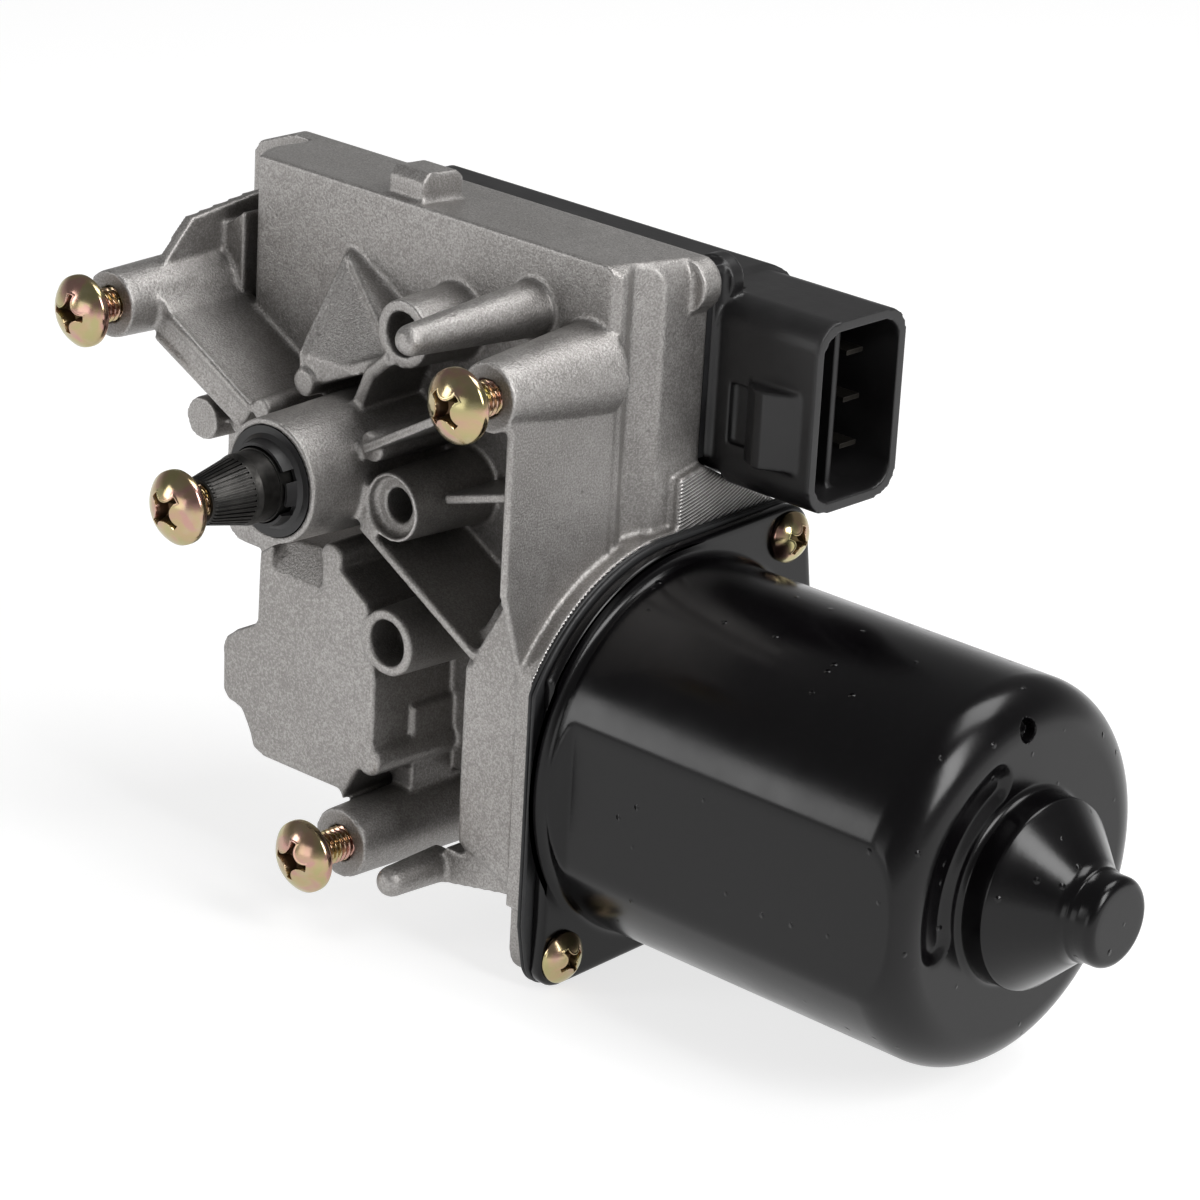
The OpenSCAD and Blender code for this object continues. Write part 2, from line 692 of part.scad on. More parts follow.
module worm_wheel() {
    rim_inner = wheel_pitch_r - 5;
    turn = lead_slope * wheel_face / wheel_pitch_r * 180 / PI;
    color([0.85, 0.84, 0.78]) {
        difference() {
            translate([0, wheel_back, 0]) rotate([90, 0, 0]) rotate(-turn / 2)
                linear_extrude(wheel_face, twist = -turn, slices = 2) difference() {
                    wheel_teeth_outline();
                    circle(rim_inner, $fn = 72);
                }
        }
        difference() {
            union() {
                bar_y(0, 0, wheel_front + 2.5, wheel_back - 0.3, rim_inner + 0.5, rim_inner + 0.5);
                bar_y(0, 0, flange_front + 0.4, wheel_back, 14, 14);
            }
            bar_y(0, 0, plate_depth, wheel_back + 1, output_shaft_r, output_shaft_r);
            translate([0, flange_front, 0]) rotate([-90, 0, 0])
                cylinder(h = hex_depth, r = hex_r + 0.05, $fn = 6);
        }
    }
}

module contact_disc() {
    color([0.78, 0.5, 0.25]) prism_y(disc_y, disc_y + 0.8) difference() {
        circle(25);
        circle(10);
        difference() {
            translate([-30, 19.5]) square([26, 3]);
            circle(19);
        }
    }
}

module output_shaft() {
    ring_y = front_bush_y - 2.25;
    tip = hub_front - shaft_reach;
    taper_foot = tip + 8;
    journal_end = hub_front - cap_lip - 0.5;
    color([0.12, 0.12, 0.12]) difference() {
        union() {
            turned_y([[tip, 0], [tip, taper_end_r - 0.5], [tip + 0.6, taper_end_r],
                [taper_foot, journal_r - 0.3], [taper_foot + 0.9, journal_r], [journal_end, journal_r],
                [journal_end, output_shaft_r], [ring_y, output_shaft_r], [ring_y, output_shaft_r - 0.8],
                [ring_y + 1.1, output_shaft_r - 0.8],
                [ring_y + 1.1, output_shaft_r], [wheel_back + 2, output_shaft_r],
                [wheel_back + 2.6, output_shaft_r - 0.6], [wheel_back + 2.6, 0]]);
            translate([0, flange_front, 0]) rotate([-90, 0, 0]) cylinder(h = hex_depth, r = hex_r, $fn = 6);
        }
        bar_y(0, 0, tip - 1, tip + 14, screw_r + 0.05, screw_r + 0.05);
        // Serrations of the taper
        for (a = [0 : 10 : 350]) rotate([0, a, 0]) translate([0, tip, taper_end_r - 0.35])
            rotate([atan((journal_r - 0.3 - taper_end_r) / (taper_foot - tip)), 0, 0])
                translate([-0.2, -1, 0]) cube([0.4, taper_foot + 0.9 - tip, 1.6]);
    }
}

module output_bushes() {
    color([0.7, 0.55, 0.35]) for (y = [front_bush_y, rear_bush_y]) difference() {
        bar_y(0, 0, y, y + bush_length, bush_r, bush_r);
        bar_y(0, 0, y - 1, y + bush_length + 1, output_shaft_r + run_gap, output_shaft_r + run_gap);
    }
}

module thrust_washer() {
    color([0.8, 0.8, 0.8]) for (y = [front_bush_y - 0.95, rear_bush_y + bush_length + 0.05]) difference() {
        bar_y(0, 0, y, y + 0.85, output_shaft_r + 3, output_shaft_r + 3);
        bar_y(0, 0, y - 1, y + 2, output_shaft_r + run_gap, output_shaft_r + run_gap);
    }
}

module retaining_ring() {
    color([0.35, 0.35, 0.35]) difference() {
        bar_y(0, 0, front_bush_y - 2.2, front_bush_y - 1.2, output_shaft_r + 2, output_shaft_r + 2);
        bar_y(0, 0, front_bush_y - 3, front_bush_y, output_shaft_r - 0.75, output_shaft_r - 0.75);
        translate([-1.5, -10, -12]) cube([3, 20, 12]);
    }
}

module shaft_cap() {
    hole = output_shaft_r + 0.3;
    color([0.06, 0.06, 0.06]) difference() {
        turned_y([[hub_front - cap_lip, hole], [hub_front - cap_lip, hole + 0.5],
            [hub_front - 0.6, hole + 0.9], [hub_front, hole + 1.6], [hub_front, cap_seat_r - 0.05],
            [hub_front + 4.4, cap_seat_r - 0.05], [hub_front + 4.4, cap_seat_r - 1],
            [hub_front + 1.8, cap_seat_r - 1], [hub_front + 1.8, hole]]);
        for (a = [-25, 25]) rotate([0, a, 0]) translate([hole - 0.4, hub_front - 3, -1]) cube([1.3, 2.6, 2]);
    }
}

// Pan head screw along Y with its head at the front
module pan_screw(x, z, head_y, length, r) {
    head_r = 2.07 * r;
    head_h = 1.5 * r;
    dome_r = 2.6 * r;
    bar_y(x, z, head_y - 0.3, head_y + length, r, r);
    difference() {
        intersection() {
            bar_y(x, z, head_y - head_h, head_y, head_r, head_r);
            translate([x, head_y - head_h + dome_r, z]) sphere(dome_r);
        }
        for (w = [[0.3, 1], [1, 0.3]])
            translate([x - w[0] * r, head_y - 1.6 * r, z - w[1] * r])
                cube([2 * w[0] * r, 0.9 * r, 2 * w[1] * r]);
    }
}

module crank_screw() {
    color([0.8, 0.7, 0.4]) pan_screw(0, 0, hub_front - shaft_reach - 3.4, 12, screw_r);
}

module mounting_screws() {
    color([0.8, 0.7, 0.4]) {
        pan_screw(boss_left_x, boss_left_z, -screw_standoff, 18, screw_r);
        pan_screw(boss_right_x, boss_right_z, -screw_standoff - 0.3, 18, screw_r);
        pan_screw(boss_low_x, mz - boss_low_drop, -screw_standoff - 2.1, 18, screw_r);
    }
}

// Half section of the can in radius and distance along the axis, drawn in by inset
module can_section(inset) {
    translate([0, can_x - inset]) square([can_r - inset, can_length - gasket_thick - edge_r + inset]);
    square([can_r - edge_r, can_end - inset]);
    translate([can_r - edge_r, can_end - edge_r]) circle(edge_r - inset);
    translate([0, can_x]) square([tip_r - inset, can_tip - max(tip_round, inset) - can_x]);
    if (inset == 0) {
        square([tip_r - tip_round, can_tip]);
        translate([tip_r - tip_round, can_tip - tip_round]) circle(tip_round);
    }
    polygon([[0, can_x], [0, tip_x - inset * 0.5], [tip_r + 0.3 - inset, tip_x - inset * 0.5],
        [nose_r - inset, nose_end - inset * 0.5], [nose_r - inset, can_x]]);
}

module can_form(inset) {
    difference() {
        translate([0, my, mz]) rotate([0, 90, 0]) rotate_extrude($fn = 96) intersection() {
            can_section(inset);
            translate([0, can_x - inset - 1]) square([60, 200]);
        }
        for (s = [-1, 1]) translate([0, my, 0]) prism_z(mz - 40, mz + 40)
            polygon([[flange_x + 5.2, s * (can_r + 0.5)], [flange_x + 7.2, s * (can_flat - inset)],
                [can_end + 3, s * (can_flat - inset)], [can_end + 3, s * 45], [flange_x + 5.2, s * 45]]);
    }
}

module motor_can() {
    color([0.05, 0.05, 0.05]) difference() {
        union() {
            can_form(0);
            prism_x(can_x, can_x + can_flange_thick) difference() {
                flange_outline(flange_r - 0.8, lobe_r - 0.3, front_flat - 1.1);
                translate([my + back_flat, mz + flange_r - 14.1]) square([20, 40]);
            }
        }
        can_form(can_wall);
        can_screw_places() bar_x(can_x - 1, can_x + 5, 0, 0, can_screw_r + 0.2, can_screw_r + 0.2);
        bar_x(can_end - 4, can_end + 1, my - 1.6, mz + can_r - 5.85, vent_r, vent_r);
    }
}

module can_gasket() {
    color([0.04, 0.04, 0.04]) difference() {
        prism_x(flange_x, can_x) difference() {
            flange_outline(flange_r, lobe_r, front_flat + 1.1);
            translate([my, mz]) circle(can_r - can_wall);
        }
        can_screw_places() bar_x(flange_x - 1, can_x + 1, 0, 0, can_screw_r + 0.2, can_screw_r + 0.2);
    }
}

module can_screws() {
    head_x = can_x + can_flange_thick;
    color([0.75, 0.72, 0.55]) can_screw_places() difference() {
        union() {
            bar_x(flange_x - flange_thick + 0.2, head_x + 0.5, 0, 0, can_screw_r, can_screw_r);
            bar_x(head_x, head_x + 3, 0, 0, 4.5, 3.6);
        }
        for (w = [[1.6, 0.4], [0.4, 1.6]])
            translate([head_x + 1.4, -w[0], -w[1]]) cube([3, 2 * w[0], 2 * w[1]]);
    }
}

module field_magnets() {
    color([0.2, 0.2, 0.22]) prism_x(magnet_x, magnet_x + magnet_length) translate([my, mz]) difference() {
        circle(magnet_outer);
        circle(magnet_inner);
        for (s = [-60, 60]) polygon([[0, 0], s * [cos(30), -sin(30)], [s, 0], s * [cos(30), sin(30)]]);
    }
}

module magnet_springs() {
    color([0.6, 0.6, 0.62]) prism_x(magnet_x + 4, magnet_x + magnet_length - 4) translate([my, mz])
        for (s = [-1, 1]) translate([s * spring_x, 0]) difference() {
            square([spring_width, spring_height], center = true);
            translate([s * -spring_wall, 0])
                square([spring_width, spring_height - 2 * spring_wall], center = true);
        }
}

// Cross-section of the single start thread, its crest centred on angle zero
module worm_outline() {
    crest = tooth_pitch / 2 - backlash - 2 * pressure * tooth_module;
    foot = crest + 2 * pressure * 2.2 * tooth_module;
    root = worm_pitch_r - 1.2 * tooth_module;
    half_crest = 180 * crest / tooth_pitch;
    half_foot = 180 * foot / tooth_pitch;
    polygon([for (c = [[-half_crest, worm_tip_r], [-half_crest / 3, worm_tip_r], [half_crest / 3, worm_tip_r],
        [half_crest, worm_tip_r], [(half_crest + half_foot) / 2, worm_tip_r - 1.1 * tooth_module],
        [half_foot, root], [(half_foot + 180) / 2, root], [180, root], [-(half_foot + 180) / 2, root],
        [-half_foot, root],
        [-(half_crest + half_foot) / 2, worm_tip_r - 1.1 * tooth_module]]) c[1] * [cos(c[0]), sin(c[0])]]);
}

module armature_shaft() {
    start_angle = 90 + 360 * (worm_start - tooth_pitch / 2) / tooth_pitch;
    turns = worm_length / tooth_pitch;
    color([0.7, 0.7, 0.72]) {
        bar_x(shaft_left, worm_start + 0.4, my, mz, armature_shaft_r, armature_shaft_r);
        bar_x(-worm_start - 0.4, shaft_right, my, mz, armature_shaft_r, armature_shaft_r);
        translate([worm_start, my, mz]) rotate([90, 0, 90]) rotate(start_angle)
            linear_extrude(worm_length, twist = -360 * turns, slices = round(12 * turns), $fn = 11)
                worm_outline();
    }
}

module core_slot_places() {
    for (i = [0 : core_slots - 1]) rotate(i * 360 / core_slots) children();
}

module armature_core() {
    color([0.55, 0.55, 0.56]) prism_x(core_x, core_x + core_length) translate([my, mz]) difference() {
        circle(core_r);
        circle(armature_shaft_r);
        core_slot_places() {
            translate([slot_ring_r, 0]) circle(winding_r + 0.15);
            translate([slot_ring_r, -0.9]) square([10, 1.8]);
        }
    }
}

module armature_windings() {
    color([0.7, 0.35, 0.15]) {
        prism_x(core_x - 5, core_x + core_length + 5) translate([my, mz])
            core_slot_places() translate([slot_ring_r, 0]) circle(winding_r);
        for (x = [core_x - 8.5, core_x + core_length + 0.2]) translate([x, my, mz]) rotate([0, 90, 0])
            rotate_extrude() round_rect(7, 0, core_r - 2.2, 8.3, 3);
    }
}

module commutator() {
    hub = commutator_r - 4;
    color([0.75, 0.45, 0.2]) prism_x(commutator_x, commutator_x + commutator_length) translate([my, mz]) {
        difference() {
            circle(hub);
            circle(armature_shaft_r);
        }
        difference() {
            circle(commutator_r);
            circle(hub - 0.4);
            for (i = [0 : commutator_bars - 1]) rotate(i * 360 / commutator_bars)
                translate([hub + 0.5, -0.3]) square([10, 0.6]);
        }
    }
}

module brush_plate() {
    color([0.35, 0.2, 0.1]) prism_x(cup_floor_x + run_gap, cup_floor_x + brush_plate_thick)
        translate([my, mz]) difference() {
            circle(cup_inner_r - slip_gap);
            circle(commutator_r + 2);
        }
}

module brush_boxes() {
    box_x = cup_floor_x + brush_plate_thick;
    outer = brush_size / 2 + box_wall;
    inner = brush_size / 2 + 0.1;
    color([0.75, 0.6, 0.3]) translate([brush_x, my, mz]) for (a = brush_turns)
        rotate([a, 0, 0]) difference() {
            translate([box_x - brush_x, box_start, -outer])
                cube([brush_x + brush_size + box_wall - box_x, box_end - box_start, 2 * outer]);
            translate([0, box_start - 1, -inner])
                cube([brush_size + 0.1, box_end - box_start - box_wall + 1, 2 * inner]);
        }
}

module carbon_brushes() {
    color([0.15, 0.15, 0.15]) translate([brush_x, my, mz]) for (a = brush_turns)
        rotate([a, 0, 0]) difference() {
            translate([0.05, commutator_r - 1, -brush_size / 2]) cube([brush_size, 8.5, brush_size]);
            translate([-1, 0, 0]) rotate([0, 90, 0]) cylinder(h = 9, r = commutator_r + 0.2);
        }
}

module brush_springs() {
    start = commutator_r + 7.6;
    color([0.6, 0.6, 0.62]) translate([brush_x + brush_size / 2, my, mz]) for (a = brush_turns)
        rotate([a, 0, 0]) translate([0, start, 0]) rotate([-90, 0, 0]) difference() {
            cylinder(h = box_end - box_wall - start - 0.1, r = 2);
            translate([0, 0, -1]) cylinder(h = 12, r = 1.5);
        }
}

module choke_coils() {
    x = back_x + 1.9;
    color([0.65, 0.35, 0.15]) {
        translate([x, my - 16, mz - 8]) cylinder(h = 15, r = 2.6);
        translate([x, my - 14, mz - 17.5]) rotate([-90, 0, 0]) cylinder(h = 15, r = 2.6);
    }
}

module ring_x(x0, x1, r_in, r_out) {
    difference() {
        bar_x(x0, x1, my, mz, r_out, r_out);
        bar_x(x0 - 1, x1 + 1, my, mz, r_in, r_in);
    }
}

module bearing_outer_ring() {
    color([0.75, 0.75, 0.77])
        ring_x(bearing_x, bearing_x + bearing_width, ball_ring_r + ball_r + 0.1, bearing_r - 0.02);
}

module bearing_inner_ring() {
    color([0.75, 0.75, 0.77])
        ring_x(bearing_x + 0.1, bearing_x + bearing_width, armature_shaft_r, ball_ring_r - ball_r);
}

module bearing_balls() {
    color([0.8, 0.8, 0.82]) translate([bearing_x + bearing_width / 2, my, mz]) for (i = [0 : 6])
        rotate([i * 360 / 7, 0, 0]) translate([0, ball_ring_r, 0]) sphere(ball_r, $fn = 32);
}

module bearing_clip() {
    color([0.55, 0.55, 0.55])
        ring_x(bearing_x + bearing_width, bearing_x + bearing_width + 0.6, 8.4, bearing_r - 0.02);
}

module nose_bush() {
    centre = can_end + 8.3;
    color([0.7, 0.55, 0.35]) translate([0, my, mz]) rotate([0, 90, 0]) rotate_extrude() intersection() {
        translate([0, centre]) circle(7.3);
        translate([armature_shaft_r + run_gap, centre - 4.2]) square([10, 8.4]);
    }
}

module bush_clip() {
    color([0.6, 0.6, 0.62]) ring_x(can_end + 3.4, can_end + 4.2, 6.7, nose_r - can_wall - 0.05);
}

module worm_end_bush() {
    color([0.7, 0.55, 0.35])
        ring_x(end_bush_x, end_bush_x + end_bush_length, armature_shaft_r + run_gap, worm_tip_r + worm_room);
}

module thrust_ball() {
    color([0.8, 0.8, 0.82]) translate([end_bush_x + 1.4, my, mz]) sphere(2.4);
}

module thrust_screw() {
    color([0.7, 0.65, 0.5]) difference() {
        bar_x(tube_left - 4, end_bush_x - 1.05, my, mz, screw_r, screw_r);
        translate([tube_left - 5, my - 4, mz - 0.5]) cube([2.2, 8, 1]);
    }
}

gear_housing();
rear_cover();
cover_seal();
cover_screws();
circuit_plate();
relay_block();
connector_pins();
park_contacts();
worm_wheel();
contact_disc();
output_shaft();
output_bushes();
thrust_washer();
retaining_ring();
shaft_cap();
crank_screw();
mounting_screws();
motor_can();
can_gasket();
can_screws();
field_magnets();
magnet_springs();
armature_shaft();
armature_core();
armature_windings();
commutator();
brush_plate();
brush_boxes();
carbon_brushes();
brush_springs();
choke_coils();
bearing_outer_ring();
bearing_inner_ring();
bearing_balls();
bearing_clip();
nose_bush();
bush_clip();
worm_end_bush();
thrust_ball();
thrust_screw();
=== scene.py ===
import json
import math
from collections import namedtuple

import bmesh
import bpy
import numpy as np
from mathutils import Matrix, Vector


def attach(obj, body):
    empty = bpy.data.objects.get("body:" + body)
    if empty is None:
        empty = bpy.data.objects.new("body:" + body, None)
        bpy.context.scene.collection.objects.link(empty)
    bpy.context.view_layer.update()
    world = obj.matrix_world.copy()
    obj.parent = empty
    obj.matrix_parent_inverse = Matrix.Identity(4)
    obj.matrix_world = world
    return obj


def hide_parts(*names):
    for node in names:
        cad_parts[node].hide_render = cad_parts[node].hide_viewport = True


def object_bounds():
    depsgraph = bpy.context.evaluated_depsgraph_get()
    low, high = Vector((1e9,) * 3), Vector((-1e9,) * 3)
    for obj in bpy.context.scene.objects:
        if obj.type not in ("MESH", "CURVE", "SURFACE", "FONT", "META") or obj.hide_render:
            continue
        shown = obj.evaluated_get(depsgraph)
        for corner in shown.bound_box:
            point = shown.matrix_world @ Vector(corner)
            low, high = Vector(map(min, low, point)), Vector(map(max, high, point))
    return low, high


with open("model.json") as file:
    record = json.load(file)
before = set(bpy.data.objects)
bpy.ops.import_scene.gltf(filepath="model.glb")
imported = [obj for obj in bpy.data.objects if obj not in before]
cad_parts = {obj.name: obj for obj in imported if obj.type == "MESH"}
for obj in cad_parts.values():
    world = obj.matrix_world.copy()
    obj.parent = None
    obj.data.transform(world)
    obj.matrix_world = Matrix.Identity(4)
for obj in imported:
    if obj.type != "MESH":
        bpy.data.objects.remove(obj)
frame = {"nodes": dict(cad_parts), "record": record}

cad_box = [list(corner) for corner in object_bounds()]
nodes = frame["nodes"]
MM = 0.001
TURN = 2 * math.pi

# ---------------------------------------------------------------- places and sizes, in millimetres
# The motor's axis runs along X through MOTOR_Y and MOTOR_Z, the output shaft's along Y through the origin.
MOTOR_Y, MOTOR_Z = 36.0, -40.15
FLANGE_X, GASKET, CAN_FLANGE = 50.5, 1.6, 2.4
CAN_X = FLANGE_X + GASKET
CAN_FACE = CAN_X + CAN_FLANGE
CAN_R, CAN_END, CAN_TIP = 32.15, 127.0, 146.0
NOSE_R, NOSE_END = 15.7, 132.2
TIP_R = 7.4
# Bends and edges of the can: flange to wall, wall to end, end to nose, nose to cone, tip
FLANGE_BEND, EDGE_R, NOSE_BEND, NOSE_EDGE, TIP_EDGE = 1.6, 7.5, 1.2, 0.7, 1.6
# Flats: distance from the axis, how much further out they start, and where that fades
CAN_FLAT, FLAT_LEAD, FLAT_FADE = 29.6, 3.2, (55.6, 58.4)
# Groove in the can's end: distance from the axis, angles of its ends, depth, and where its side rises
GROOVE_REACH, GROOVE_ARC, GROOVE_DEPTH, GROOVE_SIDE = 20.7, (114, 191), 1.0, (1.2, 3.9)
VENT_ANGLE, VENT_REACH, VENT_DEPTH, VENT_SIDE = math.atan2(26.3, -1.6), 26.35, 1.9, (1.62, 1.98)
# Flange outlines: radius of the round part, radius of the lobes, distance of the flat in front
CAN_RIM, GASKET_RIM = (35.2, 5.3, 30.0), (35.9, 5.6, 32.1)
LOBE_REACH, LOBE_TURN = 39.8, math.radians(50.5)

# Pan heads: radius, height, radius of the dome, length and depth of the recess's arms, points round the head
PanHead = namedtuple("PanHead", "radius height dome arm deep fine")
M6_HEAD = PanHead(6.2, 4.43, 7.75, 3.4, 2.6, 216)
CAN_HEAD = PanHead(4.45, 2.95, 5.6, 2.5, 1.7, 160)
COVER_HEAD = PanHead(2.9, 2.15, 3.6, 1.7, 1.2, 120)
M6_RADIUS, M6_PITCH = 3.0, 1.0
# Mounting screws: x, z, how far they stand out, turn of the recess
MOUNTING_SCREWS = ((-46.5, 17.4, 5.3, 0.05), (42.5, 24.4, 5.6, 0.75), (13.2, MOTOR_Z - 21.55, 7.4, 0.1))
CRANK_SEAT_Y, CRANK_SHOWN, CRANK_TURN = -24.9, 3.4, 0.72
COVER_Y = 48.9
COVER_SCREWS = ((-38.5, 35.2), (45.6, 35.3), (-37, -23.5), (43, -1.5))

# Raised rims: the fin's face leans back above FIN_FOOT_Z, and the strut's face stands at STRUT_Y
FIN_Y, FIN_FOOT_Z, FIN_SLOPE, FIN_RIM_R = 11.35, 15.5, 0.732, 0.8
STRUT_Y, STRUT_RIM_R = 6.15, 0.75


# ---------------------------------------------------------------- camera
def photo_camera():
    """Camera at the photograph's angle: the viewing direction from azimuth and elevation, then turned
    about itself by the roll."""
    azimuth, elevation, roll = (math.radians(a) for a in (42.0, 21.0, 3.2))
    place = Vector((499.5, -478.7, 245.7)) * MM
    forward = Vector((-math.sin(azimuth) * math.cos(elevation), math.cos(azimuth) * math.cos(elevation),
                      -math.sin(elevation)))
    level_right = Vector((math.cos(azimuth), math.sin(azimuth), 0))
    level_up = level_right.cross(forward)
    right = level_right * math.cos(roll) + level_up * math.sin(roll)
    up = level_up * math.cos(roll) - level_right * math.sin(roll)
    data = bpy.data.cameras.new("photo_camera")
    data.sensor_width = 36
    data.lens = 134.1
    data.clip_start, data.clip_end = 0.01, 20
    camera = bpy.data.objects.new("photo_camera", data)
    bpy.context.scene.collection.objects.link(camera)
    camera.matrix_world = Matrix.Translation(place) @ Matrix((right, up, -forward)).transposed().to_4x4()
    bpy.context.scene.camera = camera


# ---------------------------------------------------------------- shader building blocks
class Wiring:
    """Short helpers on a shader tree: each adds a node, wires it and returns the socket that comes out."""

    def __init__(self, tree):
        self.tree = tree

    def join(self, value, socket):
        """Links what is a socket, and sets what is a plain value."""
        if isinstance(value, bpy.types.NodeSocket):
            self.tree.links.new(value, socket)
        else:
            socket.default_value = value

    def add(self, kind, out=0, inputs=None, **settings):
        node = self.tree.nodes.new(kind)
        for key, value in settings.items():
            setattr(node, key, value)
        for key, value in (inputs or {}).items():
            self.join(value, node.inputs[key])
        return node.outputs[out]

    def sums(self, operation, *values):
        return self.add("ShaderNodeMath", operation=operation, inputs=dict(enumerate(values)))

    def blend(self, amount, first, second):
        """Colour between the first, at 0, and the second, at 1. The colour sockets of a Mix node are its
        inputs 6 and 7 and its output 2."""
        return self.add("ShaderNodeMix", out=2, data_type="RGBA", inputs={0: amount, 6: first, 7: second})

    def spread(self, value, low, high, to_low=0.0, to_high=1.0):
        """Carries the range from low to high over to another one, and stops at its ends."""
        return self.add("ShaderNodeMapRange", inputs={0: value, 1: low, 2: high, 3: to_low, 4: to_high})


def effect_group(name, takes, gives, build):
    """One shared effect as a node group: takes and gives name its sockets, build wires its inside."""
    tree = bpy.data.node_groups.new(name, "ShaderNodeTree")
    for label, kind, value in takes:
        socket = tree.interface.new_socket(name=label, in_out="INPUT", socket_type=kind)
        if value is not None:
            socket.default_value = value
    for label, kind in gives:
        tree.interface.new_socket(name=label, in_out="OUTPUT", socket_type=kind)
    entry = tree.nodes.new("NodeGroupInput")
    leave = tree.nodes.new("NodeGroupOutput")
    for label, socket in build(Wiring(tree), entry.outputs).items():
        tree.links.new(socket, leave.inputs[label])
    return tree


def build_grain(wire, given):
    """Fine grain over a slow mottle: two noises of different scale, and their heights added up."""
    fine = wire.add("ShaderNodeTexNoise", inputs={
        "Vector": given["Vector"], "Scale": given["Fine Scale"], "Detail": 3.0, "Roughness": 0.6})
    coarse = wire.add("ShaderNodeTexNoise", inputs={
        "Vector": given["Vector"], "Scale": given["Coarse Scale"], "Detail": 4.0, "Roughness": 0.55})
    height = wire.sums("ADD", wire.sums("MULTIPLY", fine, given["Fine Depth"]),
                       wire.sums("MULTIPLY", coarse, given["Coarse Depth"]))
    return {"Height": height, "Fine": fine, "Mottle": coarse}


def build_edges(wire, given):
    """Edge mask: how far a softened normal leans away from the true one."""
    soft = wire.add("ShaderNodeBevel", samples=6, inputs={"Radius": given["Radius"]})
    true = wire.add("ShaderNodeNewGeometry", out="Normal")
    lean = wire.add("ShaderNodeVectorMath", out="Value", operation="DOT_PRODUCT", inputs={0: soft, 1: true})
    return {"Edge": wire.spread(lean, 0.995, 0.86)}


def build_specks(wire, given):
    """Sparse round specks: the distance to the nearest cell point, kept where a cell's own number is high."""
    cell = wire.add("ShaderNodeTexVoronoi", inputs={
        "Vector": given["Vector"], "Scale": given["Scale"]}).node.outputs
    chosen = wire.add("ShaderNodeSeparateColor", inputs={0: cell["Color"]})
    rare = wire.sums("GREATER_THAN", chosen, given["Rarity"])
    return {"Speck": wire.sums("MULTIPLY", wire.spread(cell["Distance"], given["Size"], 0.0), rare)}


FLOAT, VECTOR = "NodeSocketFloat", "NodeSocketVector"
grain_group = effect_group(
    "surface_grain",
    [("Vector", VECTOR, None), ("Fine Scale", FLOAT, 4000.0), ("Coarse Scale", FLOAT, 120.0),
     ("Fine Depth", FLOAT, 1.0), ("Coarse Depth", FLOAT, 0.5)],
    [("Height", FLOAT), ("Fine", FLOAT), ("Mottle", FLOAT)], build_grain)
edge_group = effect_group("edge_mask", [("Radius", FLOAT, 0.0006)], [("Edge", FLOAT)], build_edges)
speck_group = effect_group(
    "sparse_specks",
    [("Vector", VECTOR, None), ("Scale", FLOAT, 300.0), ("Size", FLOAT, 0.2), ("Rarity", FLOAT, 0.8)],
    [("Speck", FLOAT)], build_specks)


class Finish(Wiring):
    """A material under way: its tree, its object coordinates and its Principled shader."""

    def __init__(self, name, metallic=0.0, roughness=0.5, **fixed):
        self.material = bpy.data.materials.new(name)
        self.material.use_nodes = True
        super().__init__(self.material.node_tree)
        self.shader = self.tree.nodes["Principled BSDF"]
        for key, value in {"Metallic": metallic, "Roughness": roughness, **fixed}.items():
            self.shader.inputs[key].default_value = value
        self.place = self.add("ShaderNodeTexCoord", out="Object")

    def group(self, tree, **inputs):
        """Places a shared effect. An underscore in an input's name stands for the space in it."""
        node = self.tree.nodes.new("ShaderNodeGroup")
        node.node_tree = tree
        for key, value in inputs.items():
            self.join(value, node.inputs[key.replace("_", " ")])
        return node.outputs

    def grain(self, fine_scale, coarse_scale, fine_depth, coarse_depth):
        return self.group(grain_group, Vector=self.place, Fine_Scale=fine_scale, Coarse_Scale=coarse_scale,
                          Fine_Depth=fine_depth, Coarse_Depth=coarse_depth)

    def specks(self, scale, size, rarity):
        return self.group(speck_group, Vector=self.place, Scale=scale, Size=size, Rarity=rarity)["Speck"]

    def edges(self, radius):
        return self.group(edge_group, Radius=radius)["Edge"]

    def noise(self, scale, **settings):
        return self.add("ShaderNodeTexNoise", inputs={"Vector": self.place, "Scale": scale, **settings})

    def feed(self, name, socket):
        self.tree.links.new(socket, self.shader.inputs[name])

    def bump(self, height, distance, strength):
        self.feed("Normal", self.add("ShaderNodeBump", inputs={
            "Height": height, "Distance": distance, "Strength": strength}))


def rgb(r, g, b):
    return (r, g, b, 1.0)


# ---------------------------------------------------------------- materials
def milled_arcs(m):
    """Where the flange face is milled, below the socket on the side towards the motor, and the wave of the
    cutter's arcs: a sine of the distance from a far centre. Lengths are in metres."""
    from_x, top_z = (0.0494, 0.0498), (0.0052, 0.0048)
    centre_y, centre_z, pitch = 0.030, 0.046, 0.00062
    x, y, z = m.add("ShaderNodeSeparateXYZ", inputs={0: m.place}).node.outputs
    facing = m.add("ShaderNodeSeparateXYZ", inputs={0: m.add("ShaderNodeNewGeometry", out="True Normal")})
    milled = m.sums("MULTIPLY", m.spread(x, *from_x), m.spread(facing, 0.85, 0.96))
    milled = m.sums("MULTIPLY", milled, m.spread(z, *top_z))
    reach = m.sums("SQRT", m.sums("ADD", m.sums("POWER", m.sums("SUBTRACT", y, centre_y), 2.0),
                                  m.sums("POWER", m.sums("SUBTRACT", z, centre_z), 2.0)))
    return milled, m.sums("SINE", m.sums("MULTIPLY", reach, TURN / pitch))


